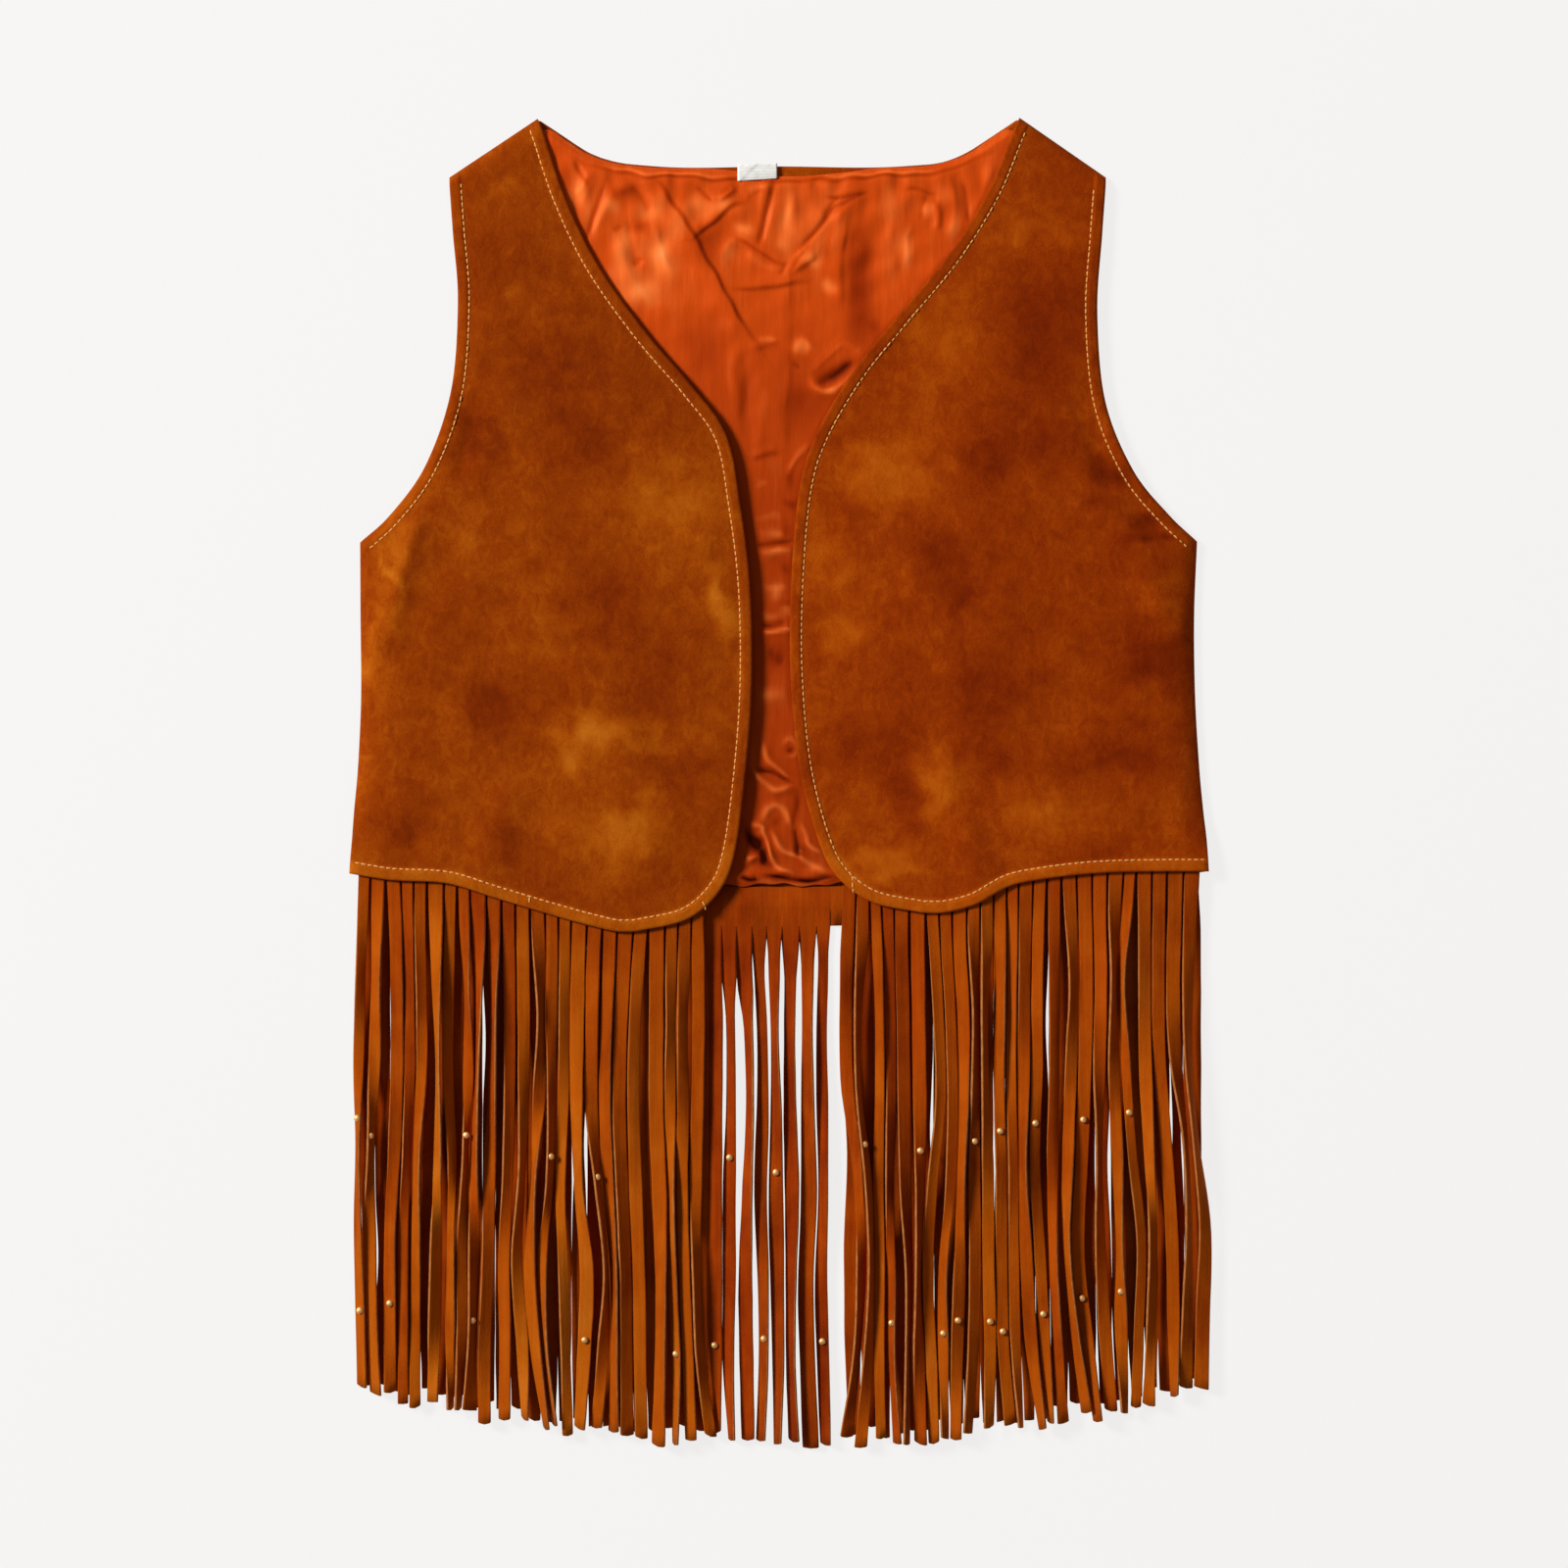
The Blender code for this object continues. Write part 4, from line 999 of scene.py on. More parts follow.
# The lining of the back, seen through the neck and between the fronts.
liningCut = {
    "name": "backLiningSatin",
    "sideInset": 8.0,
    "hemCentre": -51.4,
    "hemSide": -35.0,
    "hemRise": 1.55,  # it rides up over the fringe strip
    "hemRiseReach": 10.0,
    "top": [  # share across, x, y
        (0.0, -158.0, 299.0), (0.1, -119.5, 333.5), (0.15, -108.5, 328.0), (0.2, -97.5, 320.9),
        (0.25, -84.0, 316.3), (0.3, -67.5, 314.4), (0.4, -36.0, 313.6), (0.45, -22.0, 312.4),
        (0.5, -1.0, 309.9), (0.55, 14.0, 310.0), (0.6, 25.0, 310.9), (0.65, 38.0, 312.3),
        (0.7, 52.0, 314.0), (0.75, 76.0, 315.0), (0.8, 95.0, 320.4), (0.85, 107.5, 328.4),
        (0.9, 119.0, 333.8), (1.0, 156.5, 299.0),
    ],
    "rowsPerSection": (16, 18, 18, 22, 26, 26, 26, 24, 14, 24, 36, 42, 34, 14),
    "sideColumns": 10,  # under each front
    "middleColumns": 230,  # where it shows
    "showMargin": 8.0,  # those reach this far under the fronts
    "underStep": 6,  # the underside has a point at every sixth row and column
    "rimRadius": 0.8,
    "puff": 1.3,  # it lies this loose where it shows
    "wander": 1.3,  # how far a crease strays from its line
    "creaseShare": 0.68,
    # shares of the creases' painted shade, of the painted highlights on their crests, and of the painted sheen patches
    "shadeShare": 0.85,
    "crestShare": 1.15,
    "paintedSheenShare": 1.4,
    "highest": 3.3,
    "folds": [
        (-62.5, 305.0, -12.0, 222.0, 8.0, 1.6),
        (36.0, 300.0, 9.0, 263.0, 7.0, 1.3),
        (16.0, 204.0, 38.0, 216.0, 7.0, 1.0),
        (2.5, 265.0, 2.5, 182.0, 7.0, 0.9),
        (43.0, 295.0, 37.0, 232.0, 9.0, 1.3),
        (-92.0, 292.0, -77.0, 250.0, 8.0, 1.0),
        (-14.0, 120.0, 4.0, 120.0, 8.0, 0.9),
        (-12.0, 80.0, 4.0, 78.0, 8.0, 1.0),
        (-12.0, -22.0, 8.0, -34.0, 8.0, 1.0),
    ],
    "foldShare": 0.5,  # the creases below are the finer form of these folds
    # rise, width to the left and the right of the run, painted shade, which is a painted highlight on the crest
    # where it is below 0, then the line, which runs up or to the right
    "creases": [
        # the band at the neck, sewn down along its lower edge
        (-0.8, 0.9, 1.3, 0.85, (-107, 321), (-93, 314), (-79, 311.3), (-65, 309.4), (-20, 308.4), (-1, 307.2),
         (18, 307.4), (34, 308.6), (60, 309.7), (84, 311.8), (96, 315.5), (108, 323)),
        (0.5, 1.2, 1.2, -0.7, (-90, 314.4), (-79, 312.4), (-65, 310.6), (-22, 309.6)),
        (0.4, 1.2, 1.2, -0.6, (20, 308.8), (36, 309.8), (60, 311), (84, 313)),
        # the long crease from the neck down to the middle, soft on its left and sharp on its right
        (1.7, 11.0, 1.3, 0.9, (-10.7, 221.3), (-14.9, 227), (-23.3, 239.6), (-28.9, 250.8), (-37.3, 266.2),
         (-44.4, 278.9), (-52.8, 290.1), (-64, 307.6)),
        (0.7, 3.0, 2.0, 0.3, (-14, 221), (-5, 225), (0, 227)),
        # the fold over the dark triangle
        (1.4, 8.0, 1.2, 0.8, (-45.8, 278.9), (-34.5, 287.3), (-23.3, 295.7), (-17.7, 298.5)),
        (-0.8, 1.3, 1.6, 0.5, (-42, 303.5), (-38, 301.5), (-34, 297)),
        (0.8, 3.0, 1.4, 0.4, (-31, 297), (-26, 300), (-22, 304)),
        (-0.6, 1.2, 1.2, 0.4, (-29, 301), (-24, 303)),
        (0.7, 2.4, 2.4, -0.3, (-16, 302), (-10, 304), (-6, 303)),
        # the tuck down the centre, with a ridge close on its right
        (-1.3, 1.0, 1.0, 1.0, (-10.7, 274.7), (-9.3, 278.9), (-6.5, 288.7), (-4.4, 298.5), (-3.4, 307.6)),
        (1.0, 1.7, 5.0, 0.0, (-7.5, 276), (-3.4, 288), (-1.2, 300)),
        # waves under the tuck and the pleat that they end in
        (1.2, 5.0, 1.1, 0.8, (-21.9, 279.2), (-16, 277), (-10.7, 273.3), (-2.3, 267.6), (3.3, 266.2)),
        (0.8, 2.4, 4.0, -0.2, (-27.5, 262), (-29, 268), (-26, 275), (-20, 278)),
        (-0.7, 1.1, 1.1, 0.7, (0.0, 259), (2.0, 262), (3.4, 266)),
        (0.6, 2.6, 2.6, -0.2, (-17, 271), (-8, 264), (-1, 261)),
        (0.9, 5.0, 0.9, 0.9, (-24, 253.6), (-9.3, 254), (4.7, 255), (14, 256.8)),
        # the seam down the centre of the back
        (0.45, 6.0, 2.0, 0.12, (0.5, 156), (1.9, 180.7), (4, 208.7), (4, 236.8), (4.7, 253.6), (4.7, 290)),
        # creases that fan out from the right of the neck
        (-1.1, 1.1, 1.3, 0.9, (7.6, 270.5), (16, 278.9), (23, 285.9), (30, 294.3), (44, 301.3)),
        (0.9, 1.5, 3.5, 0.3, (26, 272), (29, 285), (34, 294), (41, 300)),
        (-0.6, 1.1, 1.1, 0.5, (22, 288), (27, 295), (31, 300)),
        (1.3, 3.4, 1.1, 0.8, (7.6, 260.2), (13.2, 266.2), (19, 271)),
        (0.7, 1.8, 1.5, 0.4, (5.6, 262), (8, 268), (12, 273)),
        (-0.9, 0.9, 1.3, 0.9, (24.4, 299.2), (34, 299.4), (45, 301.5)),
        (0.9, 4.0, 1.2, 0.2, (30.5, 244), (31.3, 265), (33, 290)),
        (-1.2, 8.0, 8.0, 0.0, (42, 226), (42, 252), (41, 292)),
        (0.7, 5.0, 3.0, 0.0, (56, 258), (58, 276), (56, 300)),
        # swirls by the left front
        (-0.9, 1.3, 1.5, 0.7, (71.5, 287), (72, 294), (75, 301)),
        (0.9, 2.0, 1.2, 0.6, (81.5, 281), (80.5, 290), (77.5, 297)),
        (-0.8, 1.0, 1.3, 0.7, (64, 303.2), (72, 302.6), (80, 300.6)),
        (0.8, 1.4, 2.4, 0.2, (87.5, 278), (88.9, 298.5), (86.1, 309)),
        (-0.9, 1.2, 1.4, 0.9, (96.5, 286), (95, 298), (94.3, 308)),
        (0.8, 3.0, 2.0, -0.3, (65, 264), (64, 276), (67, 286)),
        # the pocket beside the left front, and its raised rim
        (-1.0, 3.4, 3.0, 0.9, (18.5, 203.6), (23, 206), (29, 210), (34, 213.6), (38.5, 216)),
        (1.1, 2.6, 3.0, -0.7, (15.5, 208), (18, 202), (23, 199.6), (30, 202.6), (37, 208.6), (42.8, 215.5)),
        (1.1, 3.0, 1.5, -0.2, (15, 209), (24, 216.5), (32.8, 224), (40, 221)),
        (0.7, 3.0, 3.0, -0.3, (7, 218), (12, 226), (18, 221)),
        (-0.6, 1.5, 1.5, 0.6, (7.5, 214.5), (10.5, 211)),
        # soft lengthwise folds on the left of the seam
        (0.5, 2.5, 3.5, 0.0, (-23.5, 186), (-23.3, 238)),
        (-0.7, 3.0, 3.0, 0.0, (-17.5, 176), (-17, 220)),
        (0.7, 4.0, 4.0, 0.0, (-9, 162), (-9, 212)),
        (-0.5, 5.0, 5.0, 0.0, (11, 172), (12, 202)),
        # the bright rumpled side by the right front
        (-1.0, 1.2, 1.3, 0.9, (-99.5, 277), (-92, 294.3), (-88.6, 307)),
        (0.9, 1.6, 4.0, -0.2, (-94, 281), (-87, 296), (-85.5, 306)),
        (-0.9, 1.3, 1.5, 0.6, (-104, 318), (-100, 310), (-96, 304)),
        (0.9, 3.0, 2.0, -0.3, (-104, 300), (-100, 306), (-98, 312)),
        (1.2, 4.0, 2.6, -0.3, (-56, 258), (-60, 272), (-66, 290)),
        (-0.9, 2.0, 2.0, 0.3, (-76, 305), (-70, 300), (-66, 291)),
        (-0.8, 2.4, 2.4, 0.2, (-71, 262), (-75, 276), (-78, 288)),
        (1.0, 4.0, 3.0, -0.2, (-66, 244), (-76, 260), (-84, 280)),
        (0.6, 6.0, 6.0, 0.0, (-50, 226), (-62, 248)),
        (-0.6, 1.5, 1.5, 0.5, (-74, 264), (-69, 267)),
        (-0.6, 1.6, 1.6, 0.5, (-84, 281), (-81, 285)),
        # cross tucks between the fronts
        (0.8, 2.6, 0.9, 0.9, (-14, 168.0), (-7, 168.4), (-1, 169.4)),
        (0.6, 1.2, 1.2, -0.3, (4, 158), (9, 166), (15, 174)),
        (-1.2, 1.5, 1.5, 0.9, (-12, 121.6), (0, 121.9), (9, 123.4)),
        (0.9, 2.0, 3.0, -0.4, (-10, 118), (1, 118.2), (9, 119.2)),
        (0.6, 3.0, 3.0, -0.2, (-10, 127), (4, 128)),
        (-1.1, 1.2, 1.2, 1.1, (-9, 80.8), (-3, 80.9), (3, 81.1)),
        (0.8, 0.8, 1.4, -0.8, (-8, 77.6), (0, 77.8), (8, 78)),
        (0.7, 2.4, 2.4, -0.4, (-8, 100), (5, 100.8)),
        (-0.7, 3.6, 3.6, 0.5, (-6, 69), (3, 62)),
        (0.6, 4.4, 4.4, -0.15, (-10, 43.5), (5, 45.6)),
        # rumples above the lining's hem
        (0.8, 1.4, 1.4, -0.5, (2.5, 21), (6, 23), (9, 19), (8, 15), (3.6, 15.4)),
        (1.3, 3.0, 2.0, -0.6, (-8.5, 21), (-4.4, 11.7), (2.3, 5), (8.5, 1.8)),
        (-1.3, 1.7, 1.7, 1.7, (-11, 7.6), (-2.5, 5), (7, 1.6)),
        (1.4, 2.0, 3.2, -0.7, (-13, 8.4), (-8.3, 1.2), (-1.6, -2.6), (8, 0)),
        (1.2, 2.2, 2.2, -0.7, (-9.6, -18), (-5.4, -12.2), (-0.6, -11.2), (3.2, -16), (6.5, -23)),
        (
            1.7, 2.2, 1.7, -0.8,
            (-15.5, -20.4), (-9.2, -20.8), (-8.3, -24.6), (-4.4, -34.2), (-0.6, -42.8), (7, -46),
        ),
        (-0.6, 4.6, 3.8, 1.6, (-18, -21), (-13, -29), (-8, -38), (-5, -44)),
        (1.5, 2.0, 2.0, -0.6, (-18, -38.5), (-11, -36.7), (-6.4, -40), (-5.0, -44)),
        (-1.4, 1.6, 1.6, 2.2, (-19, -46.2), (-15, -48.6), (-11, -48.6)),
        (-1.5, 1.7, 1.7, 2.6, (-8, -47.2), (-1, -47.6), (6, -48.8), (14, -48.2), (21, -47.6), (29, -46.6)),
        (0.7, 1.2, 1.2, -0.5, (-16, -50.6), (-9.2, -49.8), (0.3, -51), (9.9, -51), (22, -49.8)),
        (-1.2, 1.8, 1.8, 1.5, (10, -38), (9.4, -30), (8.6, -23)),
        (1.3, 2.0, 2.0, -0.6, (12, -21), (13.8, -26), (15.7, -31.3), (23, -36)),
        (1.4, 2.2, 2.2, -0.7, (-5, -23), (2.3, -33.3), (9.9, -37.1), (17.6, -40.9), (25, -45)),
    ],
    # painted highlights where the satin shines and painted shade where it lies in its own shade: x, y,
    # half width, half height, tone
    "sheen": [
        (-60, 268, 6, 9, 1.0), (-70, 251, 9, 7, 0.8), (-79.5, 276, 5, 8, 0.6), (-85, 294, 4, 4, 0.6),
        (-102, 301, 5, 6, 0.6), (-65, 293, 7, 4.5, 0.6), (-79, 302, 7, 3.5, -0.6),
        (-70, 283, 6, 3.5, -0.5), (-29, 294, 6, 3.5, 0.8), (-42, 293, 6, 6, 0.5), (-36, 276, 8, 9, -0.5),
        (-18, 282, 4, 2.6, 0.6), (-26, 270, 2.6, 5, 0.4), (4.5, 289, 3.6, 8, 0.7), (2, 276, 2.6, 4, 0.5),
        (16, 268, 5, 3, 0.7), (26, 254, 3.4, 4, 0.7), (41, 258, 7, 38, -0.8), (49, 232.5, 6, 5, -0.45),
        (25.5, 207.2, 4, 2.4, -0.5), (29.5, 210, 4, 2.6, -0.55), (33.5, 213, 3.6, 2.4, -0.55),
        (20, 285, 34, 24, 0.2), (0, 205, 40, 26, -0.3), (64, 272, 4, 8, 0.6), (73, 293, 3.6, 4, 0.6),
        (89, 283, 2.4, 6, 0.6), (57, 293, 6, 8, 0.3), (12, 223, 6, 4, 0.6), (-5, 225.6, 5, 2.4, 0.5),
        (24.5, 200, 4, 2, 0.7), (40, 220, 3, 4, 0.5), (-9.3, 195, 6, 15, 0.35),
        (-23.3, 209, 2.6, 16, 0.3), (-17.7, 197, 3, 14, -0.4), (-40, 222, 10, 14, -0.35),
        (12, 194, 7, 11, -0.35), (5.4, 154.6, 2.2, 4.4, -0.6), (6.4, 143.6, 4.4, 2.6, -0.6),
        (4, 130, 2.6, 5, -0.4), (3.6, 110, 2.2, 3, -0.5), (4, 93, 2, 2, -0.4),
        (-1.6, 98.5, 3.4, 3.2, 0.7), (-3, 85.5, 4.5, 2, 0.5), (-1, 117, 5, 1.8, 0.6),
        (-2, 126.5, 4, 2, 0.4), (-5, 134.5, 5, 2, 0.3), (-9, 153, 3, 1.6, 0.4), (-4, 45, 5, 4, 0.4),
        (-80, 262, 8, 9, 0.3), (-94, 290, 5, 8, 0.4), (-52, 285, 4, 8, 0.5), (84, 300, 5, 6, 0.3),
        (3.6, 88.5, 1.8, 4, 0.5), (-1.2, 66, 5, 5.5, -0.5), (5.8, 18, 1.4, 1.6, -0.9),
        (6.5, -12, 2.4, 8, -0.7), (-2.5, -18, 2.6, 2.6, -0.4), (12, -33, 2.6, 3, -0.6),
        (-12, -30, 3.6, 4.2, -1.5), (-7.4, -37, 2.4, 3.6, -1.4),
    ],
}


def frontEdgeX(front, y):
    # where the free edge of a front stands at each height
    sections = np.array(front["sections"])
    return np.interp(y, sections[:, 3], sections[:, 2])


def liningFlat(rows, u):
    # places on the lining: a patch between its hem's arc, its sides, and its shoulders and neck
    v = (rows / rows[-1])[:, None]
    shares, *topPoints = np.array(liningCut["top"]).T
    fine = np.linspace(0, 1, 201)
    top = np.stack([np.interp(u, fine, smoothCurve(shares, points, fine)) for points in topPoints], axis=-1)
    right = sideLine(rightFront, rows) + [liningCut["sideInset"], 0]
    left = sideLine(leftFront, rows) - [liningCut["sideInset"], 0]
    hemX = right[0, 0] + (left[0, 0] - right[0, 0]) * u
    hemY = liningCut["hemSide"] + (liningCut["hemCentre"] - liningCut["hemSide"]) * (1 - (2 * u - 1) ** 2)
    hemY = hemY + 0.7 * np.sin(hemX / 5.6 + 2.0) + 0.5 * np.sin(hemX / 2.3)
    hem = np.stack([hemX, hemY], axis=-1)
    toTop, toHem = v**6, (1 - v) ** 6
    right = right + (top[0, 0] - right[-1]) * toTop + (hem[0, 0] - right[0]) * toHem
    left = left + (top[0, -1] - left[-1]) * toTop + (hem[0, -1] - left[0]) * toHem
    return coonsPatch(hem, top, right[:, None], left[:, None], u, v), hemY


def liningShares(rows):
    # shares across for each row: close together where the lining shows between the fronts, few beside that
    plain = np.broadcast_to(np.linspace(0, 1, 81), (len(rows), 81))
    x, y = np.moveaxis(liningFlat(rows, plain)[0], -1, 0)
    middle = y[:, y.shape[1] // 2]
    low = np.maximum(frontEdgeX(rightFront, middle) - liningCut["showMargin"], x[:, 0] + 6)
    high = np.minimum(frontEdgeX(leftFront, middle) + liningCut["showMargin"], x[:, -1] - 6)
    side = np.concatenate([[0, 0.01], np.linspace(0.04, 1, liningCut["sideColumns"])[:-1]])
    show = np.linspace(0, 1, liningCut["middleColumns"])
    wanted = np.concatenate(
        [
            x[:, :1] + (low - x[:, 0])[:, None] * side,
            low[:, None] + (high - low)[:, None] * show,
            x[:, -1:] + (high - x[:, -1])[:, None] * side[::-1],
        ],
        axis=1,
    )
    return np.stack([np.interp(*places) for places in zip(wanted, x, plain)])


def liningPanel():
    # the patch, lying loose on the back where it shows, with folds and creases laid over it
    rows = fineRows(liningCut["rowsPerSection"])
    flat, hemY = liningFlat(rows, liningShares(rows))
    x, y = flat[..., 0], flat[..., 1]
    rim = np.concatenate([flat[:, 0], flat[-1, 1:], flat[-2::-1, -1], flat[0, -2:0:-1]])
    fromRim = distanceTo(rim[::3], x, y)
    reach = liningCut["hemRiseReach"]
    rise = liningCut["hemRise"] * (1 - ease(reach / 2, reach, y - hemY))
    shows = ease(-7.0, 3.0, x - frontEdgeX(rightFront, y)) * ease(-7.0, 3.0, frontEdgeX(leftFront, y) - x)
    wander = [liningCut["wander"] * softWaves(seed, x, y, (16, 34)) for seed in (41, 43)]
    creases, shade = creaseRelief(liningCut["creases"], x + wander[0], y + wander[1])
    creases = creases * liningCut["creaseShare"] * (1 + 0.6 * softWaves(45, x, y, (14, 26)))
    gathered = 0.2 + 0.8 * ease(215.0, 300.0, y)
    rumple = 0.5 * softWaves(31, x, y, (13, 22)) * gathered
    rumple += 0.7 * softWaves(51, x + wander[0], 0.3 * y, (8, 13)) * np.exp(-(((y - 303) / 14) ** 2))
    relief = bellFolds(liningCut["folds"], x, y) * liningCut["foldShare"] + creases + rumple
    relief = np.clip((liningCut["puff"] + relief) * (0.25 + 0.75 * shows), 0.0, liningCut["highest"])
    under = np.dstack([x, y, liningUnder + rise])
    loose = under + relief[..., None] * ease(0.0, 4.0, fromRim)[..., None] * [0, 0, 1]
    upper = roundedWall(loose, wall["lining"], fromRim, liningCut["rimRadius"])[0]
    # painted highlights and painted shade: the listed patches, less the creases' painted shade, with the painted
    # highlights on their crests
    sheen = liningCut["paintedSheenShare"] * patchTone(liningCut["sheen"], x + 2 * wander[0], y + 2 * wander[1])
    shadeShare = np.where(shade > 0, liningCut["shadeShare"], liningCut["crestShare"])
    sheen = sheen - shade * (shadeShare + 0.3 * softWaves(47, x, y, (11, 23)))
    # painted shade, deeper down between the fronts, where their edges shade the lining, and less of it under the
    # crests' painted highlights
    lowShade = 0.85 * (1 - ease(110.0, 262.0, y)) - 0.35 * np.clip(-shade, 0, 1)
    shades = {"sheen": sheen, "lowShade": lowShade}
    return addPlainBacked(liningCut["name"], upper, under, liningCut["underStep"], liningSatin, shades)


liningShell = liningPanel()
print("lining made")


# The fringe: a strip sewn inside each hem and cut into strands. The strands fall as the solids' do.
fringeCut = {
    "length": 264.0,  # of the back's strands at the centre
    "sideLoss": 13.0,  # how much shorter they would be at the sides
    "backStripBelow": 10.0,  # the back strip shows this far below the back's hem before it is cut
    "coveredLoss": 4.5,  # the back's strands are this much shorter where the fronts' fringe lies on them
    "lengthSpread": 3.5,
    "pitch": 7.7,
    "pitchSpread": 0.16,
    "leastGap": 0.4,
    "stations": (0.0, 0.07, 0.2, 0.35, 0.52, 0.69, 0.85, 1.0),
    "fineRows": 40,
    "across": (-1.0, -0.84, 0.0, 0.84, 1.0),
    "wearAndPaintedShading": (0.6, 0.0, 0.0, 0.0, 0.2),  # paler edges from wear, more so on the left, where a painted highlight marks the edges that face the light
    "cup": 0.55,  # how far a strand's middle bows out of its plane
    "openCuts": (-37.0, -29.5, -22.0, -14.0, -6.7, 1.5, 10.0, 18.9, 26.0, 33.0),  # cuts between the fronts
    "openTurns": (12.0, 68.0),
    "openMargin": 8.0,
    "lostStrand": 29.5,  # one strand is missing here
    "stripEnd": 4.0,
    "cornerRows": 4,
    "ownSway": 0.7,  # how far a strand sways apart from its neighbours
    "coveredSway": 0.07,  # the share of the back strands' sway where the fronts' fringe lies on them
    "coveredPaintedShade": -0.7,  # painted shade: those strands lie in the shade of the fronts' fringe and are darker too
    "shownTone": -1.5,  # the strands that show between the fronts are darker as well
    "stripTone": -0.5,
    "spread": 0.15,
    "gapShare": 0.35,  # so many of the back strands lie narrow for a while, and the floor shows beside them
    "gapNarrows": 0.45,
    "gapPlaces": (0.12, 0.75),
    "gapReach": 0.1,
    "slitStarts": (0.0, 0.055),
    "closedLonger": 0.1,  # beside the right front's corner
    "slitNarrows": 0.22,
    "tipNarrows": 0.3,
    "slitShade": -2.4,  # painted shade: the slits show dark before they open
    "ownTone": 0.45,  # how far a strand differs from the next, and from those further along
    "neighbourTone": 1.1,
    "toneLimit": 1.8,
    "lowerGold": 0.4,  # the strands are less red towards their tips
}
rightFringe = {
    "name": "rightFrontFringe", "seed": 11, "bed": 4.8, "turnLimit": 66.0, "sway": 6.0,
    "tipDrift": (-2.0, 1.0), "slit": 1.1, "cornerTrim": 10.5, "turnSpread": 0.75, "stripDepths": (9.0, 1.0),
    "redder": 0.35, "slitTop": 1.0, "tone": 0.35,
    # patches that darken or lighten the strands; the dark ones are painted shade
    "patches": [
        (-140, -140, 24, 60, -1.2), (-60, -170, 22, 90, 0.9),
        (-190, -250, 30, 40, 0.5), (-120, -290, 60, 25, 0.6),
    ],
}
leftFringe = {
    "name": "leftFrontFringe", "seed": 23, "bed": 4.8, "turnLimit": 66.0, "sway": 6.0,
    "tipDrift": (1.0, 6.0), "slit": 1.1, "cornerTrim": 5.0, "turnSpread": 0.75, "stripDepths": (9.0, 1.0),
    "redder": 0.5, "slitTop": 1.0, "tone": 0.1,
    # patches that darken or lighten the strands; the dark ones are painted shade
    "patches": [(60, -130, 24, 60, -0.8), (185, -230, 26, 60, 0.8), (120, -160, 20, 60, -0.5)],
}
backFringe = {
    "name": "backFringe", "seed": 37, "bed": 0.8, "turnLimit": 7.0, "sway": 3.6,
    "tipDrift": (-1.0, 2.0), "slit": 0.4, "cornerTrim": 0.0, "turnSpread": 0.55,
    "stripRows": ((10.0, 2.4), (-0.8, 2.4), (-10.0, 1.4)), "redder": 0.85, "slitTop": 0.25, "tone": 0.0,
    # patches of painted shade, where the back strands lie deep in shade under the fronts' fringe
    "patches": [(-140, -150, 26, 80, -2.0), (60, -150, 20, 80, -1.5), (150, -160, 26, 80, -1.0)],
}


def frontHemLine(front, cornerTrim):
    # the line of a front's hem and on round its lower corner, running towards +X
    rows = np.linspace(0, 14, 29)
    u = 0.5 - 0.5 * np.cos(np.pi * np.linspace(0, 1, 13))
    surface = frontUnder(front, rows, u)[..., :2]
    line = np.concatenate([surface[0], surface[1 : fringeCut["cornerRows"] + 1, -1]])
    line = alongLine(line, np.linspace(fringeCut["stripEnd"], lineLength(line) - cornerTrim, 80))
    return line if line[0, 0] < line[-1, 0] else line[::-1]


def backHemLine():
    reach = abs(rightFront["sections"][0][0]) - fringeCut["stripEnd"] - backCut["sideTuck"]
    x = np.linspace(-reach, reach, 80)
    return np.stack([x, backHem(x)], axis=-1)


def handCuts(start, end, rng):
    # places to cut a strip into strands, a little uneven
    count = round((end - start) / fringeCut["pitch"])
    pitches = 1 + fringeCut["pitchSpread"] * rng.uniform(-1, 1, count)
    return start + np.concatenate([[0], np.cumsum(pitches)]) * (end - start) / pitches.sum()


def strandEdges(fringe, line, rng):
    # left and right edge of each strand, as distances along the strip
    length = lineLength(line)
    if fringe is backFringe:
        run = np.linspace(0, length, 320)
        openCuts = np.interp(fringeCut["openCuts"], alongLine(line, run)[:, 0], run)
        before = handCuts(0, openCuts[0], rng)
        after = handCuts(openCuts[-1], length, rng)
        cuts = np.concatenate([before[:-1], openCuts, after[1:]])
    else:
        cuts = handCuts(0, length, rng)
    return cuts[:-1] + fringe["slit"] / 2, cuts[1:] - fringe["slit"] / 2


def spreadApart(centres, halfWidths):
    # strands side by side, pushed apart until none overlap, in the same order
    centres = centres.copy()
    for _ in range(400):
        overlap = np.maximum(halfWidths[:-1] + halfWidths[1:] + fringeCut["leastGap"] - np.diff(centres), 0)
        centres[:-1] -= overlap / 2
        centres[1:] += overlap / 2
    return centres


def neighbourNoise(rng, count):
    # a value for each strand that changes slowly along the fringe, so that neighbours move together
    index = np.arange(count)
    waves = [np.sin(2 * np.pi * (index / length + rng.uniform())) for length in (5.0, 11.0, 23.0)]
    return sum(waves) / len(waves) + fringeCut["ownSway"] * rng.uniform(-1, 1, count)


def tipLine(x):
    # where the strands of all three fringes are cut off: one line that rises towards the sides as a square
    half = abs(rightFront["sections"][0][0])
    longest = fringeCut["backStripBelow"] + fringeCut["length"]
    return backHem(x) - longest + fringeCut["sideLoss"] * (x / half) ** 2


def openShare(x):
    # 1 for back strands that show between the fronts, and 0 for those under the fronts' fringe
    inside = np.minimum(x - fringeCut["openCuts"][0], fringeCut["openCuts"][-1] - x)
    return ease(0.0, fringeCut["openMargin"], inside)


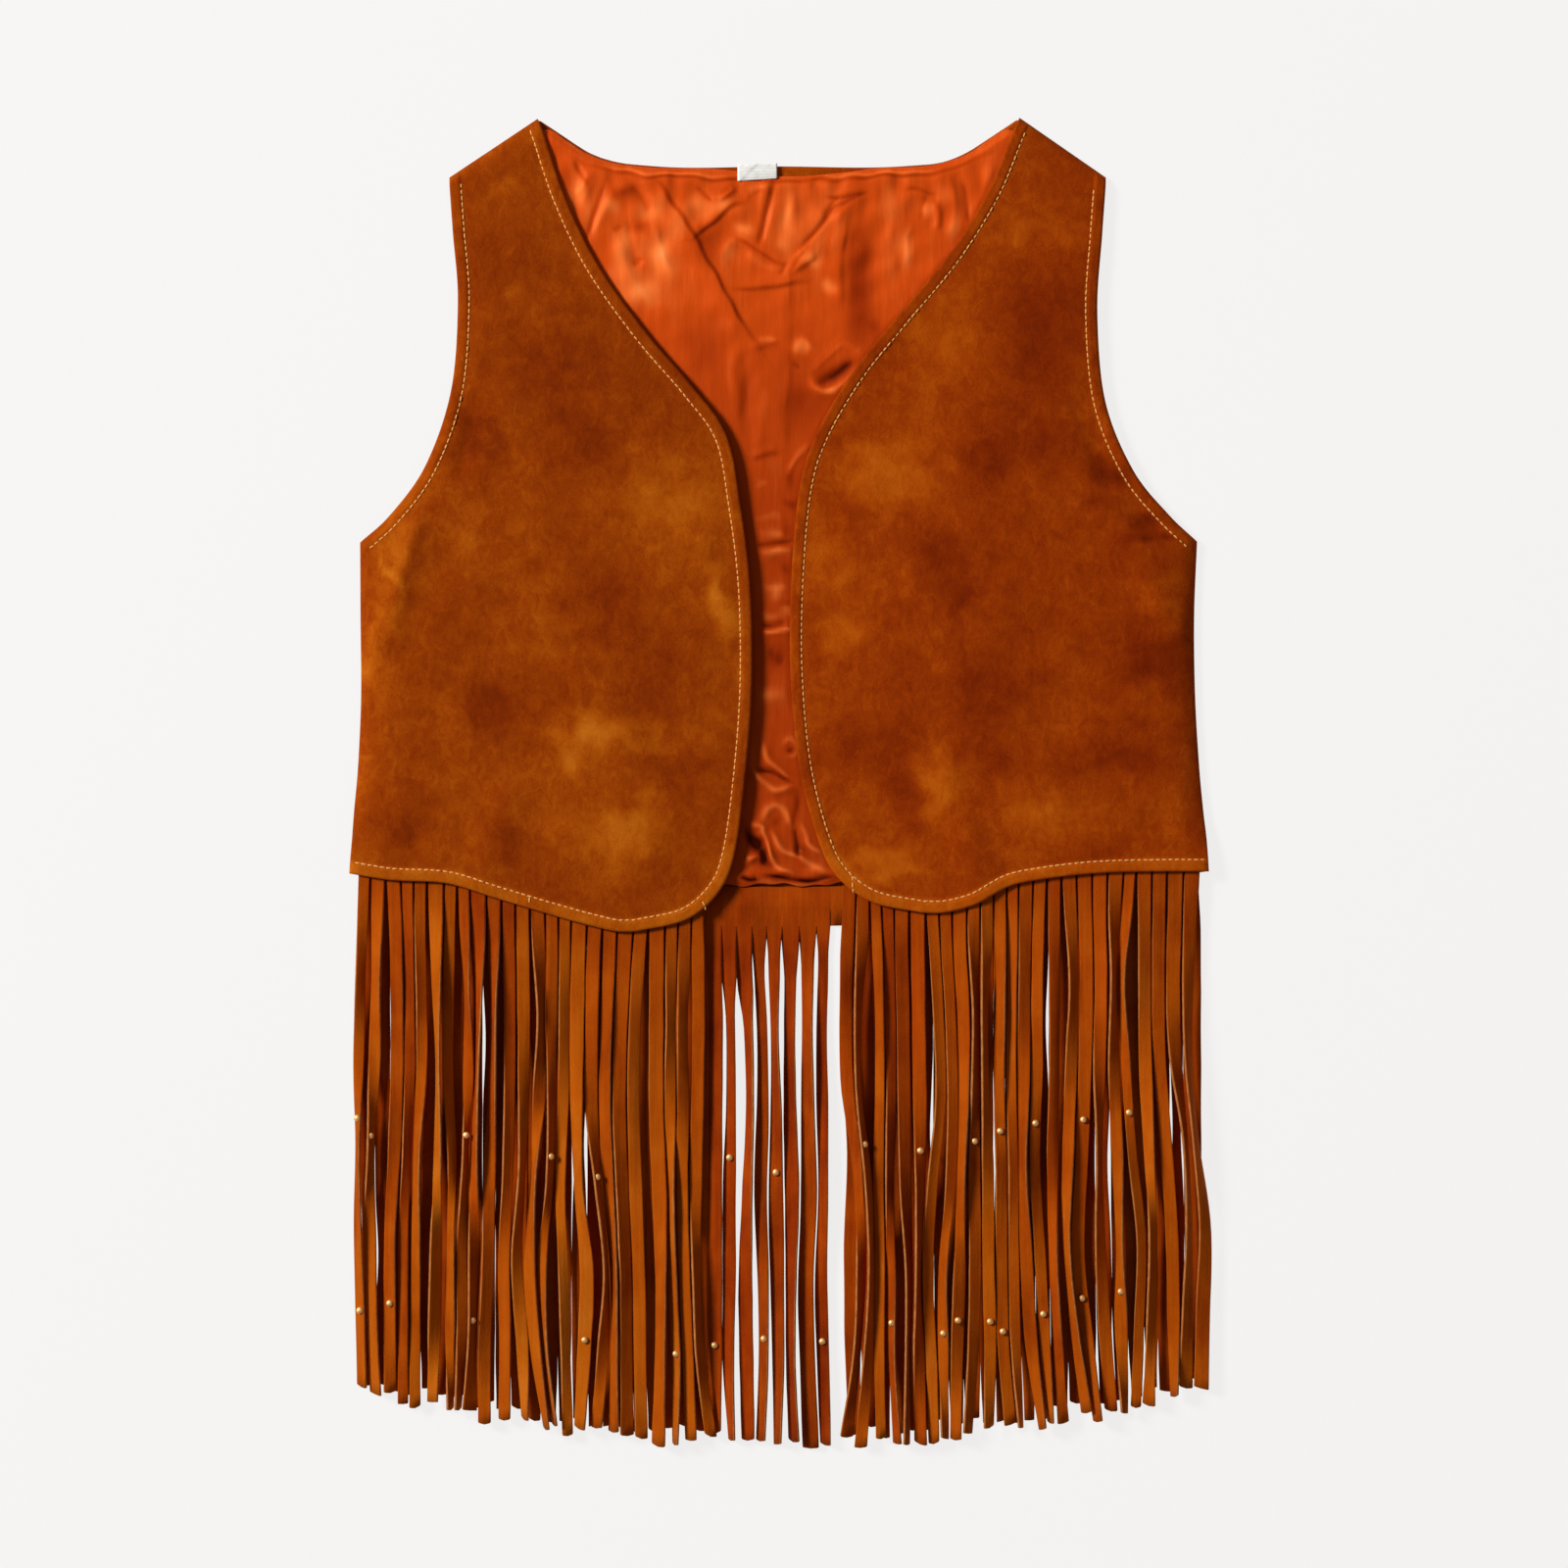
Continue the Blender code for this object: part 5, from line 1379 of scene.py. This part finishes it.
def strandEnds(fringe, rootLeft, rootRight, rng):
    # left and right edge of each strand at each station down its length: it falls straight from its root,
    # sways with its neighbours, and turns on its own axis by an angle that wanders
    count = len(rootLeft)
    stations = np.array(fringeCut["stations"])
    root = (rootLeft + rootRight) / 2
    half = np.hypot(*(rootRight - rootLeft)[:, :2].T) / 2
    length = root[:, 1] - tipLine(root[:, 0]) + fringeCut["lengthSpread"] * rng.uniform(-1, 1, count)
    turnKnots = np.linspace(0, 1, 5)
    turns = np.clip(rng.normal(0, fringe["turnSpread"], (count, 5)), -1, 1) * fringe["turnLimit"]
    swayShare = np.ones((count, 1))
    if fringe is backFringe:
        opens = openShare(root[:, 0])[:, None]
        onEdge = rng.choice([-1, 1], count)[:, None] * rng.uniform(*fringeCut["openTurns"], turns.shape)
        length -= fringeCut["coveredLoss"] * (1 - opens[:, 0])
        turns += (onEdge - turns) * opens
        swayShare = fringeCut["coveredSway"] + (1 - fringeCut["coveredSway"]) * opens
    turns[:, 0] = 0
    turns = np.radians(smoothCurve(turnKnots, turns.T, stations).T)
    sways = np.stack([neighbourNoise(rng, count) for _ in range(4)], axis=-1) * fringe["sway"] * swayShare
    sways[:, 0] = 0
    sways = smoothCurve(np.linspace(0, 1, 4), sways.T, stations).T
    shareAcross = (root[:, 0] - root[0, 0]) / (root[-1, 0] - root[0, 0])
    drift = fringe["tipDrift"][0] + (fringe["tipDrift"][1] - fringe["tipDrift"][0]) * shareAcross
    left, right = np.empty((2, count, len(stations), 3))
    left[:, 0], right[:, 0] = rootLeft, rootRight
    for j, t in enumerate(stations[1:], 1):
        flat = half * np.cos(turns[:, j])
        onEdge = np.abs(np.sin(turns[:, j]))
        x = spreadApart(root[:, 0] + sways[:, j] + drift * t**3, flat + onEdge * wall["strand"] / 2)
        rest = fringe["bed"] + half * onEdge + wall["strand"] / 2
        z = rest + (root[:, 2] - rest) * max(0.0, 1 - t / stations[2]) ** 2
        y = root[:, 1] - length * t
        lift = half * np.sin(turns[:, j])
        left[:, j] = np.stack([x - flat, y, z - lift], axis=-1)
        right[:, j] = np.stack([x + flat, y, z + lift], axis=-1)
    return left, right


def fringeStrip(fringe, line, panel, columns):
    # rows of the strip at the strands' edges: under the front just inside its hem, or on the back's hem
    if fringe is backFringe:
        return [
            np.column_stack([alongLine(line, columns) + [0, depth], np.full(len(columns), level)])
            for depth, level in fringe["stripRows"]
        ]
    drop = gap + wall["strand"] / 2 + 0.5
    inward = acrossLine(line, columns)
    flats = [alongLine(line, columns) + inward * depth for depth in fringe["stripDepths"]]
    return [np.column_stack([flat, nearestHeight(panel["under"], flat) - drop]) for flat in flats]


def backWidths(x, t, rng):
    # share of each back strand's width down its length: those under the fronts' fringe spread a little and
    # close up, and those that show are whole down to where their slit opens and narrow for a while below
    opens = openShare(x)
    starts = rng.uniform(*fringeCut["slitStarts"], len(x)) + fringeCut["closedLonger"] * (x < -17)
    below = t[:, None] - starts
    narrowed = ease(0.0, 0.05, below) * (1 - ease(0.12, 0.4, below))
    shown = 1 + fringeCut["spread"] * (1 - ease(-0.02, 0.01, below)) - fringeCut["slitNarrows"] * narrowed
    narrow = rng.uniform(0, 1, len(x)) < fringeCut["gapShare"]
    closed = fringeCut["spread"] * ~narrow * (1 - ease(0.88, 1.0, t[:, None]))
    gapAt = rng.uniform(*fringeCut["gapPlaces"], len(x))
    thin = fringeCut["gapNarrows"] * narrow * np.exp(-(((t[:, None] - gapAt) / fringeCut["gapReach"]) ** 2))
    tips = rng.uniform(0, fringeCut["tipNarrows"], len(x)) * ease(0.8, 1.0, t[:, None])
    spread = 1 + closed - thin - tips
    return shown * opens + spread * (1 - opens)


def strandForm(fringe, ends, rootX, t, detail):
    # fine points of the strands: each is cupped as the square of the place across it, a little wavy at its
    # edges, and cut off askew at its tip
    count = len(rootX)
    across = np.array(fringeCut["across"])
    fine = smoothCurve(fringeCut["stations"], np.stack(ends).transpose(2, 0, 1, 3), t)
    middle, half = (fine[:, 0] + fine[:, 1]) / 2, (fine[:, 1] - fine[:, 0]) / 2
    wave = detail.uniform(2, 5, count)[None] * t[:, None] + detail.uniform(0, 1, count)[None]
    half = half * (1 - 0.05 * np.abs(np.sin(2 * np.pi * wave)) * ease(0.0, 0.1, t)[:, None])[..., None]
    if fringe is backFringe:
        half = half * backWidths(rootX, t, detail)[..., None]
    normal = np.stack([-half[..., 2], np.zeros_like(half[..., 2]), half[..., 0]], axis=-1)
    normal = normal / np.maximum(np.linalg.norm(normal, axis=-1, keepdims=True), 1e-6)
    bowed = np.sin(np.pi * np.minimum(t * 1.3, 1))[:, None]
    cup = fringeCut["cup"] * detail.uniform(-1, 1, count)[None] * bowed
    strands = (
        middle[:, :, None]
        + half[:, :, None] * across[:, None]
        + normal[:, :, None] * (cup[:, :, None] * (across**2 - 0.5))[..., None]
    )
    slant = detail.uniform(-1.0, 1.0, count)[:, None] * across
    slant = slant + detail.uniform(0.2, 1.5, count)[:, None] * across**4
    strands[..., 1] += slant[None] * ease(0.8, 1.0, t)[:, None, None]
    return strands


def strandShades(fringe, points, rootX, t, detail):
    # tone, wear on the edges and redness of each point: every strand has its own tone, which fades out into
    # the strip above it, and the slits show painted shade before they open; the covered back strands and the
    # dark patches add painted shade, and the left edges a painted highlight
    count = len(rootX)
    across = np.array(fringeCut["across"])
    strip = np.zeros(len(points) - len(t))
    own = fringeCut["ownTone"] * detail.normal(0, 1, count)
    tone = fringe["tone"] + own + fringeCut["neighbourTone"] * neighbourNoise(detail, count)
    tone = np.clip(tone, -fringeCut["toneLimit"], fringeCut["toneLimit"])
    if fringe is backFringe:
        opens = openShare(rootX)
        tone = 0.6 * tone + fringeCut["coveredPaintedShade"] * (1 - opens) + fringeCut["shownTone"] * opens
    ownShare = np.concatenate([strip, ease(0.0, 0.08, t)])[:, None]
    tone = ownShare * tone + (1 - ownShare) * fringeCut["stripTone"]
    tone = tone[..., None] + patchTone(fringe["patches"], points[..., 0], points[..., 1])
    lower = np.concatenate([strip, t])[:, None]
    redder = fringe["redder"] + 0.25 * detail.normal(0, 1, count) + fringeCut["lowerGold"] * (0.4 - lower)
    redder = np.broadcast_to(np.clip(redder, 0, 1)[..., None], points.shape[:3])
    slits = (fringe["slitTop"] + (1 - fringe["slitTop"]) * ease(0.0, 0.04, t)) * (1 - ease(0.05, 0.12, t))
    slits = np.concatenate([strip, slits]) * fringeCut["slitShade"]
    below = np.concatenate([strip, ease(0.03, 0.1, t)])
    wearAndPaintedShading = below[:, None, None] * np.array(fringeCut["wearAndPaintedShading"]) + slits[:, None, None] * (np.abs(across) == 1)
    wearAndPaintedShading = np.broadcast_to(wearAndPaintedShading, points.shape[:3])
    return {"strandTone": tone, "wornEdge": wearAndPaintedShading, "redder": redder}


def fringePiece(fringe, line, panel=None):
    # a comb: rows of the strip, then fine rows down the strands, by five columns a strand
    rng = np.random.default_rng(fringe["seed"])
    detail = np.random.default_rng(fringe["seed"] + 100)
    columns = np.stack(strandEdges(fringe, line, rng), axis=-1).ravel()
    edges = np.stack(fringeStrip(fringe, line, panel, columns))
    stripLeft, stripRight = edges[:, 0::2], edges[:, 1::2]
    ends = strandEnds(fringe, stripLeft[-1], stripRight[-1], rng)
    rootX = stripLeft[-1, :, 0]
    t = np.linspace(0, 1, fringeCut["fineRows"] + 1)
    across = np.array(fringeCut["across"])
    strands = strandForm(fringe, ends, rootX, t, detail)
    stripMiddle, stripHalf = (stripLeft + stripRight) / 2, (stripRight - stripLeft) / 2
    band = stripMiddle[:, :, None] + stripHalf[:, :, None] * across[:, None]
    points = np.concatenate([band[:-1], strands])
    rows, wide = len(points), len(across)
    index = np.arange(points[..., 0].size).reshape(rows, len(rootX) * wide)
    quads = gridQuads(index).reshape(rows - 1, len(rootX) * wide - 1, 4)
    keep = np.ones(quads.shape[:2], bool)
    keep[len(band) - 1 :, wide - 1 :: wide] = False
    if fringe is backFringe:
        lost = np.flatnonzero(stripRight[-1, :, 0] > fringeCut["lostStrand"])[0] * wide
        keep[len(band) - 1 :, lost : lost + wide - 1] = False
    faces = quads[keep][:, ::-1]
    used = np.unique(faces)
    renumber = np.zeros(index.size, int)
    renumber[used] = np.arange(len(used))
    shades = strandShades(fringe, points, rootX, t, detail)
    piece = addObject(
        fringe["name"],
        points.reshape(-1, 3)[used],
        renumber[faces].tolist(),
        [fringeSuede, cutSuede],
        {key: values.ravel()[used] for key, values in shades.items()},
    )
    solid = piece.modifiers.new("suedeWall", "SOLIDIFY")
    solid.thickness, solid.offset = wall["strand"] * mm, 0.0
    solid.material_offset_rim = 1
    return {"object": piece, "middle": strands[:, :, wide // 2], "band": band}


rightFall = fringePiece(rightFringe, frontHemLine(rightFront, rightFringe["cornerTrim"]), rightPanel)
leftFall = fringePiece(leftFringe, frontHemLine(leftFront, leftFringe["cornerTrim"]), leftPanel)
backFall = fringePiece(backFringe, backHemLine())
print("fringes made")


# Small brass beads fixed on some of the strands, in two uneven rows.
beadLook = {
    "profile": [
        (0.15, 1.2), (0.85, 1.12), (1.4, 0.86), (1.7, 0.44), (1.8, 0.0), (1.7, -0.4), (1.2, -0.8),
        (0.15, -1.0),
    ],
    "ringPoints": 14,
    "frontReach": 8.0,  # a bead is on a front strand if one is this near
    "places": [
        (-212.5, -171.5), (-202, -175.5), (-162, -179), (-118.5, -189), (-90, -197), (-24, -193),
        (-3.5, -195), (40.5, -181), (69.5, -187), (97, -181), (114, -175), (133, -172.5), (153.5, -170),
        (179.5, -169), (-212, -265), (-201.5, -267), (-156, -272), (-97.5, -284), (-54, -292),
        (-31, -283), (-9, -283), (23, -282), (54, -275), (85.5, -277), (90.5, -272.5), (107.5, -270),
        (116.5, -279), (137, -266.5), (155, -262), (175.5, -258.5),
    ],
}


def beadPiece():
    # a turned profile carried round an upright axis, repeated at the middle of the strand nearest each place
    front = np.concatenate([fall["middle"].reshape(-1, 3) for fall in (rightFall, leftFall)])
    behind = backFall["middle"].reshape(-1, 3)
    places = np.array(beadLook["places"], float)
    away = [((fall[:, :2] - places[:, None]) ** 2).sum(-1) for fall in (front, behind)]
    nearFront = away[0].min(1) < beadLook["frontReach"] ** 2
    spots = np.where(nearFront[:, None], front[away[0].argmin(1)], behind[away[1].argmin(1)])
    radius, height = np.array(beadLook["profile"]).T
    turn = np.arange(beadLook["ringPoints"]) * 2 * np.pi / beadLook["ringPoints"]
    levels = np.broadcast_to(height[:, None], (len(radius), len(turn)))
    bead = np.stack([radius[:, None] * np.cos(turn), radius[:, None] * np.sin(turn), levels], axis=-1)
    points = spots[:, None, None] + [0, 0, wall["strand"] / 2 + 0.9] + bead
    ring = np.arange(len(radius) * len(turn)).reshape(len(radius), len(turn))
    ring = np.concatenate([ring, ring[:, :1]], axis=1)
    first = np.arange(len(spots))[:, None, None] * len(radius) * len(turn)
    caps = np.stack([ring[0, :-1], ring[-1, -2::-1]])
    faces = (first + gridQuads(ring)[:, ::-1]).reshape(-1, 4).tolist()
    faces += (first + caps).reshape(-1, len(turn)).tolist()
    return addObject("strandBeads", points, faces, [beadBrass])


beads = beadPiece()
print("beads made")


# The plain label at the back neck.
labelCut = {
    "name": "neckLabelTape",
    "lower": [(-21.2, 306.8), (-1.0, 308.2)],
    "flatPart": (7.6, 6.7),  # it lies flat this far up, on its left and on its right
    "overEdge": 2.4,  # and then turns down over the neck edge
    "turnRadius": 1.5,
    "rows": 26,
    "columns": 34,
    "rimRadius": 0.4,
}


def labelPiece():
    # a tab that lies over the lining and turns down over the neck edge round a quarter circle, with a soft
    # bow across it and a corner that is folded askew
    s, t = np.meshgrid(np.linspace(0, 1, labelCut["columns"]), np.linspace(0, 1, labelCut["rows"]))
    foot = np.array(labelCut["lower"][0]) * (1 - s)[..., None] + np.array(labelCut["lower"][1]) * s[..., None]
    flatPart = labelCut["flatPart"][0] * (1 - s) + labelCut["flatPart"][1] * s
    up = t * (flatPart + labelCut["overEdge"])
    turned = np.maximum(up - flatPart, 0) / labelCut["turnRadius"]
    y = foot[..., 1] + np.minimum(up, flatPart) + labelCut["turnRadius"] * np.sin(turned)
    askew = ease(-0.06, 0.06, s - 0.08 - 0.5 * t)
    bow = 0.2 * np.sin(np.pi * s * 1.6) + 0.55 * (1 - askew) * (1 - t) + 0.2 * np.sin(2 * np.pi * t) * askew
    z = liningUnder + wall["lining"] + 1.1 + bow - labelCut["turnRadius"] * (1 - np.cos(turned))
    place = np.stack([s * lineLength(np.array(labelCut["lower"])), up], axis=-1)
    rim = np.concatenate([place[0], place[1:, -1], place[-1, -2::-1], place[-2::-1, 0]])
    fromRim = distanceTo(rim, place[..., 0], place[..., 1])
    upper, lower = roundedWall(np.dstack([foot[..., 0], y, z]), wall["label"], fromRim, labelCut["rimRadius"])
    return addShell(labelCut["name"], upper, lower, labelTape)


label = labelPiece()
print("label made")


# What each piece stands for, its finish in the record, and the cut of each cloth.
def cutArea(*lines):
    # area inside a closed line of points, in square metres
    x, y = np.concatenate(lines).T
    return abs(np.dot(x, np.roll(y, -1)) - np.dot(y, np.roll(x, -1))) / 2 * mm * mm


def fallCut(fall):
    # a fringe laid out flat: the strip's run, the longest strand with the strip, and the area of both
    strip, strands = fall["band"], fall["middle"]
    run = lineLength(strip[-1].reshape(-1, 3)[:, :2])
    depth = np.hypot(*(strip[0] - strip[-1])[..., :2].reshape(-1, 2).T).mean()
    lengths = np.linalg.norm(np.diff(strands, axis=0), axis=-1).sum(0)
    widths = np.linalg.norm(strip[-1, :, -1] - strip[-1, :, 0], axis=-1)
    area = (run * depth + widths @ lengths) * mm * mm
    return {"flat": (run * mm, (depth + lengths.max()) * mm), "area": area}


def frontArea(panel):
    under = panel["under"][..., :2]
    return cutArea(under[0], under[1:, -1], under[-1, -2::-1], under[-2:0:-1, 0])


sewnPieces = [
    (rightPanel["object"], "right_front", "suede"),
    (leftPanel["object"], "left_front", "suede"),
    (backShell, "back", "suede"),
    (liningShell, "back_lining", "lining_satin"),
    (rightFall["object"], "fringe_right_front", "fringe_suede"),
    (leftFall["object"], "fringe_left_front", "fringe_suede"),
    (backFall["object"], "fringe_back", "fringe_suede"),
    (label, "neck_label", "label_tape"),
    (rightStitch, None, "thread"),
    (leftStitch, None, "thread"),
    (beads, None, "bead"),
]
for piece, node, slot in sewnPieces:
    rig.ride(piece, "root")
    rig.slot(piece, slot)
    if node:
        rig.replaces(piece, node)

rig.sheet(rightPanel["object"], flat=(0.206, 0.416), held="laid", rests_on=[liningShell],
         area=frontArea(rightPanel), with_pieces=[rightStitch])
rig.sheet(leftPanel["object"], flat=(0.214, 0.407), held="laid", rests_on=[liningShell],
         area=frontArea(leftPanel), with_pieces=[leftStitch])
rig.sheet(backShell, flat=(0.436, 0.403), held="laid", rests_on=["floor"], area=0.144)
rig.sheet(liningShell, flat=(0.421, 0.387), held="laid", rests_on=[backShell], area=0.133)
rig.sheet(rightFall["object"], held="laid", rests_on=[backFall["object"]], **fallCut(rightFall))
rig.sheet(leftFall["object"], held="laid", rests_on=[backFall["object"]], **fallCut(leftFall))
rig.sheet(backFall["object"], held="laid", rests_on=["floor"], with_pieces=[beads], **fallCut(backFall))
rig.sheet(label, flat=(0.0202, 0.0102), held="laid", rests_on=[liningShell])


# Floor, light and camera
studio = {
    "floorSize": 40000.0,
    "floorLevel": -0.05,
    "floorTint": tint(246, 245, 244),
    "floorGlow": 0.9,  # a lit table, so that the floor stays pale under the fringe
    "ambient": 0.17,
    "key": {"at": (-3.2, 1.6, 2.6), "size": 1.2, "watts": 250.0},
    "fill": {"at": (2.4, -2.2, 3.2), "size": 2.5, "watts": 8.0},
    "cameraHeight": 1889.0,
    "cameraX": 2.5,
    "lens": 85.0,
}


def floorFinish():
    # a pale table lit from within, with a faint tooth
    glow = {"Emission Color": studio["floorTint"], "Emission Strength": studio["floorGlow"]}
    paper = Finish("palePaper", {"Specular IOR Level": 0.0, "Roughness": 1.0, **glow})
    tooth = paper.noise(paper.place(), 500.0, 2.0)
    light, dark = (tuple(share * channel for channel in studio["floorTint"][:3]) for share in (0.096, 0.092))
    return paper.done(colour=paper.mix(tooth, (*dark, 1.0), (*light, 1.0)))


def areaLight(name, look):
    light = bpy.data.lights.new(name, "AREA")
    light.shape, light.size, light.energy = "DISK", look["size"], look["watts"]
    made = bpy.data.objects.new(name, light)
    made.location = look["at"]
    made.rotation_euler = (-Vector(look["at"])).to_track_quat("-Z", "Y").to_euler()
    bpy.context.scene.collection.objects.link(made)


def dressStudio():
    half = studio["floorSize"] / 2
    square = ((-half, -half), (half, -half), (half, half), (-half, half))
    corners = np.array([(x, y, studio["floorLevel"]) for x, y in square])
    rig.stage(addObject("studioFloor", corners, [(0, 1, 2, 3)], [floorFinish()]))
    scene = bpy.context.scene
    world = bpy.data.worlds.new("softRoom")
    world.use_nodes = True
    room = world.node_tree.nodes["Background"].inputs
    room["Color"].default_value, room["Strength"].default_value = (1.0, 1.0, 1.0, 1.0), studio["ambient"]
    scene.world = world
    areaLight("keyLight", studio["key"])
    areaLight("fillLight", studio["fill"])
    lens = bpy.data.cameras.new("overhead")
    lens.lens, lens.sensor_width = studio["lens"], 36.0
    camera = bpy.data.objects.new("overhead", lens)
    camera.location = Vector((studio["cameraX"], 0.0, studio["cameraHeight"])) * mm
    scene.collection.objects.link(camera)
    scene.camera = camera
    scene.view_settings.view_transform = "Standard"


dressStudio()
print("studio made")

with open("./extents.json", "w") as sizeFile:
    boxes = {"cad": cadBox, "visual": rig.bounds()}
    json.dump({name: [list(corner) for corner in box] for name, box in boxes.items()}, sizeFile)
